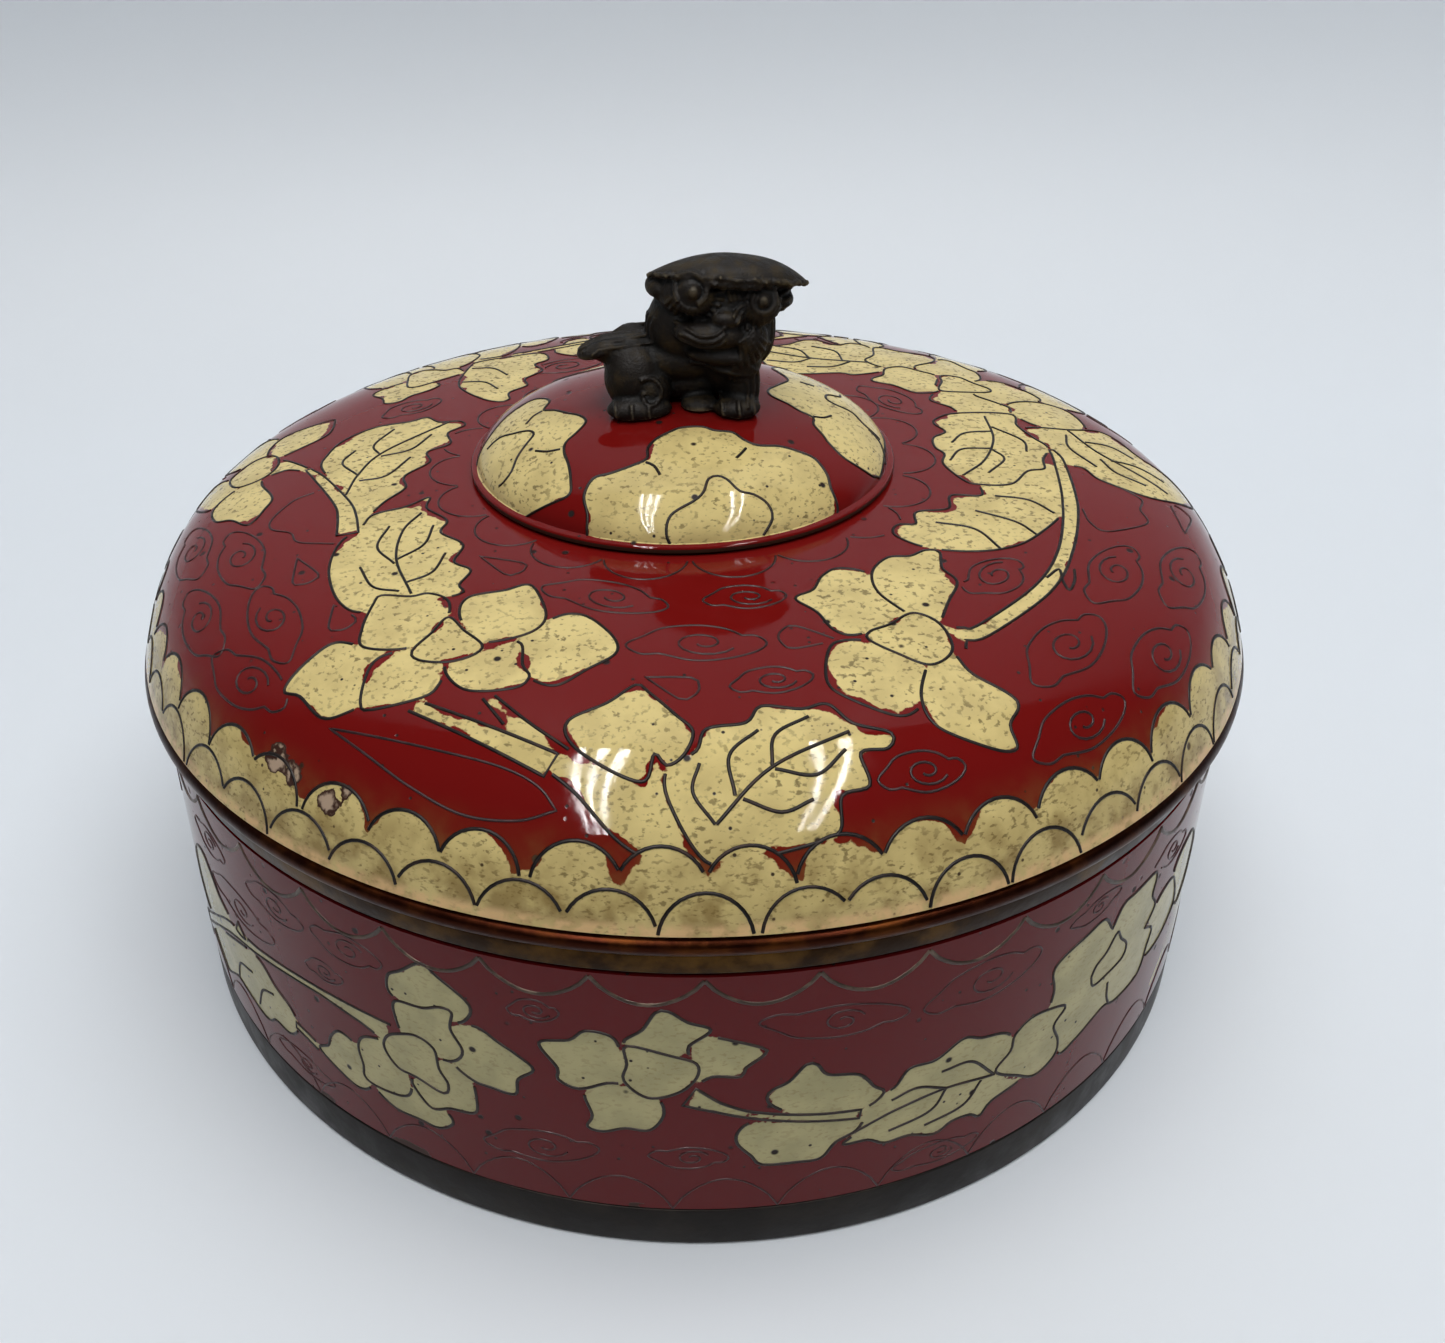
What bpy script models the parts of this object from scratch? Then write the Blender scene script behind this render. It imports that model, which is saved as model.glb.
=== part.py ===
"""A round enamelled copper trinket box with a lift-off domed lid and a small cast lion on top.

The box stands on the XY plane, centred on the Z axis, with the lid closed. The lion faces -Y.
Metres, +Z up.
"""

import math

import bmesh
import bpy
from mathutils import Matrix, Vector

# Sizes shared by all the pieces
MOUTH_RADIUS = 0.0587
TOUCH_GAP = 0.0003
WALL = 0.0022
TURN_STEPS = 64
SMOOTH_ANGLE_DEG = 35
MERGE_TOLERANCE = 1e-6

# Foot ring: a bare copper band under the box, a little wider than the mouth
WALL_TAPER = 0.0010
FOOT_HEIGHT = 0.0050
FOOT_WIDTH = 0.0020
FOOT_WEAR = 0.0004

# Box body: a shallow bowl whose wall draws in a little towards the mouth
WALL_TOP = 0.0342
WALL_SWELL = 0.0001
BASE_LIFT = 0.0016
FLOOR_THICKNESS = 0.0020
FLOOR_CORNER = 0.0070
FLOOR_CORNER_POINTS = 4

# Mouth rim: a copper band with a collar that stands up inside the lid
MOUTH_RIM_HEIGHT = 0.0025
MOUTH_RIM_ROUND = 0.0007
MOUTH_RIM_POINTS = 3
COLLAR_INSET = 0.0034
COLLAR_HEIGHT = 0.0040
COLLAR_THICKNESS = 0.0012
COLLAR_BEVEL = 0.0004
COLLAR_CLEARANCE = 0.0005

# Lid rim: a rounded copper band that stands out past the mouth
LID_OVERHANG = 0.0013
LID_RIM_HEIGHT = 0.0019
LID_RIM_TOP_DEG = 60
LID_RIM_POINTS = 6

# Lid: a shell with steep sides, a round shoulder and a nearly flat top
LID_RISE = 0.0151
SHOULDER_LEAN = 0.0044
SHOULDER_RISE = 0.0143
CROWN_INSET = 0.0101
CROWN_DROP = 0.0002
DOME_OUTER_STEPS = 9
DOME_INNER_STEPS = 7
DOME_CROWDING = 1.1

# Boss: a small dome that stands on the lid inside a bare copper edge
BOSS_RADIUS = 0.0223
BOSS_HEIGHT = 0.0077
BOSS_WALL = 0.0018
BOSS_EDGE_WIDTH = 0.0006
BOSS_EDGE_HEIGHT = 0.0006
BOSS_STEPS = 48
BOSS_OUTER_POINTS = 7
BOSS_INNER_POINTS = 5

# Lion: one small casting, its proportions kept as shares of its own height
LION_HEIGHT = 0.0167
LION_FOOT_REACH = 0.0090
LION_VOXEL_SHARE = 0.021
LION_KEPT_FACES_RATIO = 0.074
FORM_SUBDIVISIONS = 3
CREST_SUBDIVISIONS = 4
CUTTER_REACH_SHARE = 0.8
CUTTER_RINGS = 6

# Colours, roughness and metal of each finish
FINISHES = {
    "red_enamel": ((0.22, 0.012, 0.012), 0.12, 0.0),
    "aged_copper": ((0.10, 0.055, 0.032), 0.42, 1.0),
    "dark_bronze": ((0.035, 0.028, 0.022), 0.45, 1.0),
}

# Heights and radii that follow from the sizes above
FOOT_RADIUS = MOUTH_RADIUS + WALL_TAPER
LID_RADIUS = MOUTH_RADIUS + LID_OVERHANG
CROWN_RADIUS = LID_RADIUS - CROWN_INSET
COLLAR_RADIUS = MOUTH_RADIUS - COLLAR_INSET
LID_RIM_INNER = COLLAR_RADIUS + COLLAR_CLEARANCE
SHOULDER_TOP = WALL_TOP + TOUCH_GAP + MOUTH_RIM_HEIGHT
LID_BOTTOM = SHOULDER_TOP + TOUCH_GAP
SHELL_BOTTOM = LID_BOTTOM + LID_RIM_HEIGHT + TOUCH_GAP
LID_TOP = LID_BOTTOM + LID_RIM_HEIGHT / 2 + LID_RISE
LID_HOLE_RADIUS = BOSS_RADIUS - BOSS_WALL - TOUCH_GAP
BOSS_BOTTOM = LID_TOP + TOUCH_GAP


def clear_scene():
    for thing in list(bpy.data.objects):
        bpy.data.objects.remove(thing, do_unlink=True)


def finish(name):
    """The Principled material of one finish."""
    colour, roughness, metallic = FINISHES[name]
    material = bpy.data.materials.get(name) or bpy.data.materials.new(name)
    material.use_nodes = True
    shader = material.node_tree.nodes["Principled BSDF"]
    shader.inputs["Base Color"].default_value = (*colour, 1.0)
    shader.inputs["Roughness"].default_value = roughness
    shader.inputs["Metallic"].default_value = metallic
    return material


def place(name, bm, material):
    """Makes an object of a bmesh, smooth with sharp creases."""
    mesh = bpy.data.meshes.new(name)
    bm.to_mesh(mesh)
    bm.free()
    mesh.materials.append(finish(material))
    mesh.shade_smooth()
    mesh.set_sharp_from_angle(angle=math.radians(SMOOTH_ANGLE_DEG))
    piece = bpy.data.objects.new(name, mesh)
    bpy.context.scene.collection.objects.link(piece)
    return piece


def turned(outline, steps, closed=True):
    """A bmesh turned about Z from (radius, height) points. An open outline starts and ends on the axis."""
    bm = bmesh.new()
    verts = [bm.verts.new((radius, 0, height)) for radius, height in outline]
    pairs = list(zip(verts, verts[1:]))
    if closed:
        pairs.append((verts[-1], verts[0]))
    edges = [bm.edges.new(pair) for pair in pairs]
    bmesh.ops.spin(
        bm,
        geom=verts + edges,
        axis=(0, 0, 1),
        cent=(0, 0, 0),
        steps=steps,
        angle=math.tau,
        use_merge=True,
    )
    bmesh.ops.remove_doubles(bm, verts=bm.verts, dist=MERGE_TOLERANCE)
    bmesh.ops.recalc_face_normals(bm, faces=bm.faces)
    return bm


def arc(centre, radii, start_deg, end_deg, count):
    """Points along an elliptical arc in the (radius, height) plane."""
    turns = [start_deg + (end_deg - start_deg) * i / (count - 1) for i in range(count)]
    return [
        (
            centre[0] + radii[0] * math.cos(math.radians(turn)),
            centre[1] + radii[1] * math.sin(math.radians(turn)),
        )
        for turn in turns
    ]


def wall_radius(height):
    """Outer radius of the body wall, which tapers from the foot to the mouth with a slight swell."""
    share = height / WALL_TOP
    straight = FOOT_RADIUS + (MOUTH_RADIUS - FOOT_RADIUS) * share
    return straight + WALL_SWELL * math.sin(math.pi * share)


def dome_point(share):
    """A point of the lid's outer surface, from its rim at 0 to the foot of the boss at 1."""
    rim_height = LID_TOP - LID_RISE
    points = [
        Vector((LID_RADIUS, rim_height)),
        Vector((LID_RADIUS - SHOULDER_LEAN, rim_height + SHOULDER_RISE)),
        Vector((CROWN_RADIUS, LID_TOP - CROWN_DROP)),
        Vector((LID_HOLE_RADIUS, LID_TOP)),
    ]
    weights = [math.comb(3, i) * share**i * (1 - share) ** (3 - i) for i in range(4)]
    return sum((w * p for w, p in zip(weights, points)), Vector((0, 0)))


def dome_share_at(height, halvings=40):
    """Where the lid's outer surface reaches a height in its steep half, found by halving."""
    low, high = 0.0, 0.5
    for _ in range(halvings):
        middle = (low + high) / 2
        if dome_point(middle).y < height:
            low = middle
        else:
            high = middle
    return low


def dome_inner_point(share, step=0.001):
    """The point of the lid's inner surface opposite an outer one."""
    along = dome_point(min(1, share + step)) - dome_point(max(0, share - step))
    inward = Vector((-along.y, along.x)).normalized()
    return dome_point(share) + inward * WALL


def make_foot_ring():
    inner = FOOT_RADIUS - FOOT_WIDTH
    outline = [
        (inner, 0),
        (FOOT_RADIUS - FOOT_WEAR, 0),
        (FOOT_RADIUS, FOOT_WEAR),
        (wall_radius(FOOT_HEIGHT), FOOT_HEIGHT),
        (inner, FOOT_HEIGHT),
    ]
    return place("foot_ring", turned(outline, TURN_STEPS), "aged_copper")


def make_box_body():
    seat = FOOT_HEIGHT + TOUCH_GAP
    base_radius = FOOT_RADIUS - FOOT_WIDTH - TOUCH_GAP
    floor = BASE_LIFT + FLOOR_THICKNESS
    corner_top = floor + FLOOR_CORNER
    corner_centre = (wall_radius(corner_top) - WALL - FLOOR_CORNER, corner_top)
    corner_radii = (FLOOR_CORNER, FLOOR_CORNER)
    middle = (seat + WALL_TOP) / 2
    outline = [
        (0, BASE_LIFT),
        (base_radius, BASE_LIFT),
        (base_radius, seat),
        (wall_radius(seat), seat),
        (wall_radius(middle), middle),
        (MOUTH_RADIUS, WALL_TOP),
        (MOUTH_RADIUS - WALL, WALL_TOP),
        (wall_radius(middle) - WALL, middle),
        *arc(corner_centre, corner_radii, 0, -90, FLOOR_CORNER_POINTS),
        (0, floor),
    ]
    return place("box_body", turned(outline, TURN_STEPS, closed=False), "red_enamel")


def make_mouth_rim():
    bottom = WALL_TOP + TOUCH_GAP
    collar_top = SHOULDER_TOP + COLLAR_HEIGHT
    edge_centre = (MOUTH_RADIUS - MOUTH_RIM_ROUND, SHOULDER_TOP - MOUTH_RIM_ROUND)
    outline = [
        (COLLAR_RADIUS - COLLAR_THICKNESS, bottom),
        (MOUTH_RADIUS, bottom),
        *arc(edge_centre, (MOUTH_RIM_ROUND, MOUTH_RIM_ROUND), 0, 90, MOUTH_RIM_POINTS),
        (COLLAR_RADIUS, SHOULDER_TOP),
        (COLLAR_RADIUS, collar_top - COLLAR_BEVEL),
        (COLLAR_RADIUS - COLLAR_BEVEL, collar_top),
        (COLLAR_RADIUS - COLLAR_THICKNESS, collar_top),
    ]
    return place("mouth_rim", turned(outline, TURN_STEPS), "aged_copper")


def make_lid_rim():
    half = LID_RIM_HEIGHT / 2
    centre = (LID_RADIUS - half, LID_BOTTOM + half)
    bulge = arc(centre, (half, half), -90, LID_RIM_TOP_DEG, LID_RIM_POINTS)
    outline = [
        (LID_RIM_INNER, LID_BOTTOM),
        *bulge,
        (LID_RIM_INNER, bulge[-1][1]),
    ]
    return place("lid_rim", turned(outline, TURN_STEPS), "aged_copper")


def dome_shares(steps):
    """Shares from the bottom of the enamelled shell to the boss, closest together at the shoulder."""
    start = dome_share_at(SHELL_BOTTOM)
    return [start + (1 - start) * (i / steps) ** DOME_CROWDING for i in range(steps + 1)]


def make_lid():
    outer = [dome_point(share) for share in dome_shares(DOME_OUTER_STEPS)]
    inner = [dome_inner_point(share) for share in dome_shares(DOME_INNER_STEPS)]
    inner[0].y = SHELL_BOTTOM
    inner[-1].x = LID_HOLE_RADIUS
    outline = [tuple(point) for point in outer + inner[::-1]]
    return place("lid", turned(outline, TURN_STEPS), "red_enamel")


def boss_height_at(radius, grow=0.0):
    """Height of the boss's outer surface at a radius, with the surface moved out by grow."""
    share = min(1.0, radius / (BOSS_RADIUS + grow))
    return BOSS_BOTTOM + (BOSS_HEIGHT + grow) * math.sqrt(1 - share**2)


def make_lid_boss():
    edge = BOSS_RADIUS + BOSS_EDGE_WIDTH
    edge_top = BOSS_BOTTOM + BOSS_EDGE_HEIGHT
    lift_deg = math.degrees(math.asin(BOSS_EDGE_HEIGHT / BOSS_HEIGHT))
    hollow = (BOSS_RADIUS - BOSS_WALL, BOSS_HEIGHT - BOSS_WALL)
    centre = (0, BOSS_BOTTOM)
    outline = [
        *arc(centre, hollow, 90, 0, BOSS_INNER_POINTS),
        (edge, BOSS_BOTTOM),
        (edge, edge_top),
        *arc(centre, (BOSS_RADIUS, BOSS_HEIGHT), lift_deg, 90, BOSS_OUTER_POINTS),
    ]
    outline[0] = (0, BOSS_BOTTOM + hollow[1])
    outline[-1] = (0, BOSS_BOTTOM + BOSS_HEIGHT)
    return place("lid_boss", turned(outline, BOSS_STEPS, closed=False), "red_enamel")


# The lion's forms: centre and radii as shares of its height, and a tilt in degrees about Y
LION_FORM_SHARES = {
    "haunch_near": ((-0.28, -0.22, 0.23), (0.20, 0.18, 0.25), 0),
    "haunch_far": ((-0.28, 0.08, 0.23), (0.20, 0.18, 0.25), 0),
    "hind_paw_near": ((-0.27, -0.36, 0.06), (0.21, 0.12, 0.09), 0),
    "hind_paw_far": ((-0.27, 0.18, 0.06), (0.21, 0.12, 0.09), 0),
    "barrel": ((0.00, -0.10, 0.31), (0.38, 0.26, 0.17), 0),
    "belly": ((0.04, -0.10, 0.17), (0.32, 0.22, 0.14), 0),
    "chest": ((0.28, -0.16, 0.31), (0.23, 0.26, 0.26), 0),
    "front_leg_near": ((0.35, -0.31, 0.18), (0.14, 0.14, 0.24), 0),
    "front_leg_far": ((0.35, 0.08, 0.18), (0.13, 0.13, 0.24), 0),
    "front_paw_near": ((0.34, -0.40, 0.05), (0.16, 0.12, 0.08), 0),
    "front_paw_far": ((0.34, 0.16, 0.05), (0.14, 0.12, 0.07), 0),
    "tail_root": ((-0.33, -0.15, 0.38), (0.25, 0.15, 0.10), -4),
    "tail_tip": ((-0.52, -0.17, 0.36), (0.15, 0.09, 0.055), -14),
    "neck": ((0.17, -0.12, 0.54), (0.33, 0.23, 0.27), 0),
    "mane_left": ((0.00, -0.16, 0.54), (0.22, 0.21, 0.25), 0),
    "mane_right": ((0.42, -0.20, 0.48), (0.14, 0.18, 0.24), 0),
    "head": ((0.26, -0.26, 0.62), (0.32, 0.23, 0.20), 4),
    "muzzle": ((0.20, -0.42, 0.46), (0.27, 0.13, 0.10), 4),
    "lower_jaw": ((0.24, -0.40, 0.36), (0.24, 0.12, 0.08), 4),
    "beard": ((0.32, -0.36, 0.28), (0.19, 0.13, 0.11), 0),
    "brow_left": ((0.07, -0.43, 0.72), (0.12, 0.08, 0.10), 0),
    "brow_right": ((0.44, -0.42, 0.65), (0.12, 0.08, 0.11), 0),
    "eye_left": ((0.07, -0.49, 0.735), (0.05, 0.05, 0.05), 0),
    "eye_right": ((0.45, -0.48, 0.67), (0.05, 0.05, 0.05), 0),
    "nose": ((0.24, -0.48, 0.585), (0.10, 0.06, 0.06), 0),
    "crest_left": ((-0.13, -0.19, 0.73), (0.10, 0.19, 0.08), 0),
    "crest_right": ((0.66, -0.19, 0.645), (0.10, 0.16, 0.06), 10),
}
CREST_CENTRE_SHARES = (0.28, -0.17, 0.735)
CREST_RADII_SHARES = (0.52, 0.33, 0.205)
CREST_TILT_DEG = 6.5
CREST_UNDERSIDE_SHARE = 0.30
CREST_POINT_POWER = 1.9


def add_form(bm, centre, radii, tilt_deg, scale):
    """Adds one rounded form of the lion."""
    place_form = (
        Matrix.Translation(Vector(centre) * scale)
        @ Matrix.Rotation(math.radians(tilt_deg), 4, "Y")
        @ Matrix.Diagonal((*[radius * scale for radius in radii], 1))
    )
    bmesh.ops.create_icosphere(bm, subdivisions=FORM_SUBDIVISIONS, radius=1, matrix=place_form)


def add_crest(bm, scale):
    """The flat-bottomed mane crest on the head, drawn out to a point at each side."""
    verts = bmesh.ops.create_icosphere(bm, subdivisions=CREST_SUBDIVISIONS, radius=1)["verts"]
    turn = Matrix.Rotation(math.radians(CREST_TILT_DEG), 4, "Y")
    for vert in verts:
        x, y, z = vert.co
        roundness = math.sqrt(1 - min(abs(x), 0.9999) ** 2)
        lens = min(1.0, (1 - min(abs(x), 1.0) ** CREST_POINT_POWER) / roundness)
        height = z * lens * (1 if z > 0 else CREST_UNDERSIDE_SHARE)
        shares = (x, y * math.sqrt(lens), height)
        flat = Vector([share * radius for share, radius in zip(shares, CREST_RADII_SHARES)])
        vert.co = (turn @ flat + Vector(CREST_CENTRE_SHARES)) * scale


def cutter_of_boss():
    """The boss grown by the touching gap, to cut the lion's feet to its curve."""
    top = [(radius, boss_height_at(radius, TOUCH_GAP)) for radius in lion_rings()]
    bottom = BOSS_BOTTOM - BOSS_HEIGHT
    outline = [(0, bottom), (top[-1][0], bottom), *reversed(top)]
    cutter = place("boss_cutter", turned(outline, BOSS_STEPS, closed=False), "dark_bronze")
    cutter.hide_render = True
    cutter.display_type = "WIRE"
    return cutter


def lion_rings():
    """Radii of the cutter's rings, from the axis to past the lion's tail."""
    reach = min(LION_HEIGHT * CUTTER_REACH_SHARE, BOSS_RADIUS)
    return [reach * i / CUTTER_RINGS for i in range(CUTTER_RINGS + 1)]


def make_lion():
    """The casting: its forms run together into one skin, then its feet cut to the boss."""
    bm = bmesh.new()
    for centre, radii, tilt_deg in LION_FORM_SHARES.values():
        add_form(bm, centre, radii, tilt_deg, LION_HEIGHT)
    add_crest(bm, LION_HEIGHT)
    lion = place("lion_finial", bm, "dark_bronze")
    lion.location.z = boss_height_at(LION_FOOT_REACH)
    skin = lion.modifiers.new("one_skin", "REMESH")
    skin.mode = "VOXEL"
    skin.voxel_size = LION_VOXEL_SHARE * LION_HEIGHT
    thin = lion.modifiers.new("fewer_faces", "DECIMATE")
    thin.ratio = LION_KEPT_FACES_RATIO
    feet = lion.modifiers.new("feet_on_boss", "BOOLEAN")
    feet.operation = "DIFFERENCE"
    feet.object = cutter_of_boss()
    return lion


def main():
    clear_scene()
    make_foot_ring()
    make_box_body()
    make_mouth_rim()
    make_lid_rim()
    make_lid()
    make_lid_boss()
    make_lion()


main()
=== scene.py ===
# %% [markdown]
# # An enamelled copper trinket box with a lion on its lid
# The real thing is a cloisonné box: copper wires bent into blossoms, leaves and clouds are soldered
# to a copper vessel, glass paste is fired between them, and all is ground smooth and polished.
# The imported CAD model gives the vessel, its bands and the lion at their true sizes and places.
# This script dresses them. It makes each piece again on the CAD's shape, and adds what the eye
# sees: the wires, the two colours of glass with their pits and chips, the worn copper, and the fur
# of the lion.

import math

import bpy
import numpy as np
from mathutils import Matrix, Vector


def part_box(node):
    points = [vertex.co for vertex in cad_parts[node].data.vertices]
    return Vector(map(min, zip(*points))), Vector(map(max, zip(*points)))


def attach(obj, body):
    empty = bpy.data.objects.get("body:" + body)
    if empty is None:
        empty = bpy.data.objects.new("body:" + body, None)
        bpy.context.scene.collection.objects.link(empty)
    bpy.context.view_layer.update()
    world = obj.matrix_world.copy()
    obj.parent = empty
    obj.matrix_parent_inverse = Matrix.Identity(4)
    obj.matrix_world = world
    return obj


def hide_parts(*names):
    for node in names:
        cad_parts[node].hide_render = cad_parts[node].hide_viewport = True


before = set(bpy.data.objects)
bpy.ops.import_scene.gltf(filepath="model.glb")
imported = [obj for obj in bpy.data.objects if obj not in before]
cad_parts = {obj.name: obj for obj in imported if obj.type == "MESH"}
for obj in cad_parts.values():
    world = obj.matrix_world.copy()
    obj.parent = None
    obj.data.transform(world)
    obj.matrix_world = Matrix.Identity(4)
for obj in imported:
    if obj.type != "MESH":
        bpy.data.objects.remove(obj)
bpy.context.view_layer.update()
print("CAD nodes:", ", ".join(sorted(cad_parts)))

# %% [markdown]
# ## Sizes taken from the frame
# Everything here is in metres, but a maker thinks of such a box in millimetres, so `MM` turns one
# into the other. The radii and heights come from the boxes of the CAD nodes, and only the
# proportions of the profiles are named again.

# %% Sizes from the frame
MM = 0.001

foot_low, foot_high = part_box("foot_ring")
wall_low, wall_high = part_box("box_body")
mouth_low, mouth_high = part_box("mouth_rim")
rim_low, rim_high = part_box("lid_rim")
lid_low, lid_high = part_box("lid")
boss_low, boss_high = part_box("lid_boss")
lion_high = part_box("lion_finial")[1]

FOOT_RADIUS = foot_high.x
MOUTH_RADIUS = mouth_high.x
LID_RADIUS = rim_high.x
BOSS_EDGE = boss_high.x
print(f"box {2000 * LID_RADIUS:.1f} mm wide and {1000 * lion_high.z:.1f} mm high")

# %% [markdown]
# ## The camera
# The photograph looks down on the box from the front at about 33 degrees, with the camera a little
# to the left and tipped by a couple of degrees. Its place and lens were fitted to points read along
# the rims and the sides of the box. The small sideways shift frames the box left of the middle, as
# in the photograph.

# %% Camera
CAMERA_PLACE = Vector((-8.673, -134.701, 113.401)) * MM
CAMERA_PITCH = 0.57635
CAMERA_ROLL = 0.04102
LENS_MM = 33.121
SENSOR_MM = 36.0
SHIFT_ACROSS, SHIFT_UP = 0.07766, -0.00056

ahead = Vector((0, math.cos(CAMERA_PITCH), -math.sin(CAMERA_PITCH)))
level = Vector((1, 0, 0))
down = ahead.cross(level)
right = math.cos(CAMERA_ROLL) * level + math.sin(CAMERA_ROLL) * down
below = math.cos(CAMERA_ROLL) * down - math.sin(CAMERA_ROLL) * level
turn = Matrix((right, -below, -ahead)).transposed().to_4x4()

bpy.ops.object.select_all(action="DESELECT")
bpy.ops.object.camera_add()
camera = bpy.context.active_object
camera.matrix_world = Matrix.Translation(CAMERA_PLACE) @ turn
camera.data.lens = LENS_MM
camera.data.sensor_width = SENSOR_MM
camera.data.shift_x = SHIFT_ACROSS
camera.data.shift_y = SHIFT_UP
camera.data.clip_start = 5 * MM
bpy.context.scene.camera = camera
print("camera stands", round((CAMERA_PLACE.length) / MM), "mm from the middle of the foot")

# %% [markdown]
# ## Operators and nodes
# A few helpers are used all through. `start` adds a primitive with nothing else selected, because
# an operator acts on all that is selected. `colour` turns a screen colour in hex into the linear
# values that a shader wants. `node` adds one shader node with its settings and links, and `dress`
# gives a finished piece its material and its place in the model.

# %% Helpers for modelling and materials
def start(add, name, **settings):
    """Adds a primitive with nothing else selected, and names it."""
    bpy.ops.object.select_all(action="DESELECT")
    add(**settings)
    piece = bpy.context.active_object
    piece.name = piece.data.name = name
    return piece


def colour(hex_text):
    """A screen colour such as 7E1A18 as linear red, green, blue and alpha."""
    parts = [int(hex_text[i:i + 2], 16) / 255 for i in (0, 2, 4)]
    linear = [p / 12.92 if p <= 0.04045 else ((p + 0.055) / 1.055) ** 2.4 for p in parts]
    return (*linear, 1.0)


def node(tree, kind, inputs=None, **settings):
    """Adds a node, sets its properties, and fills its inputs with values or other nodes' outputs."""
    made = tree.nodes.new(kind)
    for name, value in settings.items():
        setattr(made, name, value)
    for socket, value in (inputs or {}).items():
        if isinstance(value, bpy.types.NodeSocket):
            tree.links.new(value, made.inputs[socket])
        else:
            made.inputs[socket].default_value = value
    return made


def dress(piece, material, node_name=None):
    """Gives a piece its material, lets it ride, and hides the CAD node it stands for."""
    piece.data.materials.clear()
    piece.data.materials.append(material)
    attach(piece, "root")
    if node_name:
        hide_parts(node_name)
    triangles = sum(len(face.vertices) - 2 for face in piece.data.polygons)
    print(f"{piece.name}: {triangles} triangles")

# %% [markdown]
# ## Glass enamel
# Cloisonné enamel is ground glass, fired in the cells between the wires and polished flush. Real
# glass paste leaves pinholes and brown specks, and the cream does not quite fill its cells. One
# material makes all of it, in steps: the two glasses, the brown in patches low on the lid, its very
# edge rubbed to bare copper with a painted glint of light on it, and the chips. The wall's glass
# has darker colours, as painted shade. An attribute called `cream` on each shell says how many
# millimetres a point lies inside a blossom or leaf, and the shader compares it with noise, so that
# the border of the two glasses is ragged as the fired one is.

# %% Noise and mixing in the shader
def noise(tree, place, size_mm, detail=2.0, rough=0.5):
    """Cloudy noise whose blotches are about the given size."""
    made = node(tree, "ShaderNodeTexNoise", {
        "Vector": place, "Scale": 1 / (size_mm * MM), "Detail": detail, "Roughness": rough})
    return made.outputs["Fac"]


def step_between(tree, value, low, high, to_low=0.0, to_high=1.0):
    """Turns a range of values into another, softly and with both ends held."""
    made = node(tree, "ShaderNodeMapRange", {
        "Value": value, "From Min": low, "From Max": high, "To Min": to_low, "To Max": to_high},
        interpolation_type="SMOOTHSTEP")
    return made.outputs["Result"]


def mixed(tree, share, first, second):
    """One colour laid over another by a share."""
    made = node(tree, "ShaderNodeMix", data_type="RGBA")
    for socket, value in ((0, share), (6, first), (7, second)):
        if isinstance(value, bpy.types.NodeSocket):
            tree.links.new(value, made.inputs[socket])
        else:
            made.inputs[socket].default_value = value
    return made.outputs[2]


def sum_of(tree, how, first, second):
    """Two values joined by one sum, such as ADD, SUBTRACT, MULTIPLY or MAXIMUM."""
    made = node(tree, "ShaderNodeMath", {0: first, 1: second}, operation=how)
    return made.outputs[0]


def new_material(name):
    """An empty node material with its shader, tree and object coordinates."""
    material = bpy.data.materials.new(name)
    material.use_nodes = True
    tree = material.node_tree
    place = node(tree, "ShaderNodeTexCoord").outputs["Object"]
    return material, tree, tree.nodes["Principled BSDF"], place


def pits(tree, place, cell_mm, pit_mm, share):
    """Small round holes, one in some of the cells of a loose grid."""
    cells = node(tree, "ShaderNodeTexVoronoi", {"Vector": place, "Scale": 1 / (cell_mm * MM)})
    near = step_between(tree, cells.outputs["Distance"], 0.9 * pit_mm / cell_mm, 0.5 * pit_mm / cell_mm)
    lucky = node(tree, "ShaderNodeSeparateColor", {"Color": cells.outputs["Color"]}).outputs[0]
    chosen = step_between(tree, lucky, share, share - 0.02)
    return sum_of(tree, "MULTIPLY", near, chosen)


# %% Colours of the enamel
LID_CREAM, LID_CREAM_SHADE = colour("DCC786"), colour("C9B478")
# The wall's cream and red are darker than the lid's as painted shade, since the wall gets less light from
# above; the wall's cream is also a little greener, as its own tone
SHADED_WALL_CREAM, SHADED_WALL_CREAM_DARK = colour("B5AA7C"), colour("A39A70")
CREAM_SPECK = colour("8A7A50")
LID_RED, SHADED_WALL_RED = colour("6F110F"), colour("5E0F10")
PIT_BROWN = colour("1E0F0C")
LOW_BROWN = colour("7C6336")
COPPER_BARE = colour("3A2016")
RIM_GLINT = colour("DDB582")
BROKEN_PASTE = colour("B39A82")


# %% The steps of the enamel
def in_cream(tree, place, gap_mm):
    """The share of cream. It stops short of its wire, more in some places than in others."""
    depth = node(tree, "ShaderNodeAttribute", attribute_name="cream").outputs["Fac"]
    gap = step_between(tree, noise(tree, place, 5.0), 0.48, 0.68, 0.03, gap_mm)
    fringe = sum_of(tree, "MULTIPLY", noise(tree, place, 0.7, 3.0), 0.7)
    edge = sum_of(tree, "ADD", sum_of(tree, "SUBTRACT", fringe, 0.38), gap)
    return step_between(tree, sum_of(tree, "SUBTRACT", depth, edge), -0.06, 0.06)


def speckled(tree, place, light, dark, speckle):
    """Cream with many brown specks, drawn a little wider than high."""
    stretched = node(tree, "ShaderNodeMapping", {"Vector": place, "Scale": (0.7, 0.7, 1.3)}).outputs[0]
    speck = step_between(tree, noise(tree, stretched, 0.42, 2.0), 0.54, 0.66)
    clump = step_between(tree, noise(tree, place, 3.0, 3.0), 0.35, 0.65, 0.45, 1.0)
    cream = mixed(tree, step_between(tree, noise(tree, place, 4.0, 4.0), 0.35, 0.70), light, dark)
    speck = sum_of(tree, "MULTIPLY", sum_of(tree, "MULTIPLY", speck, clump), speckle)
    return mixed(tree, speck, cream, CREAM_SPECK)


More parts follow.
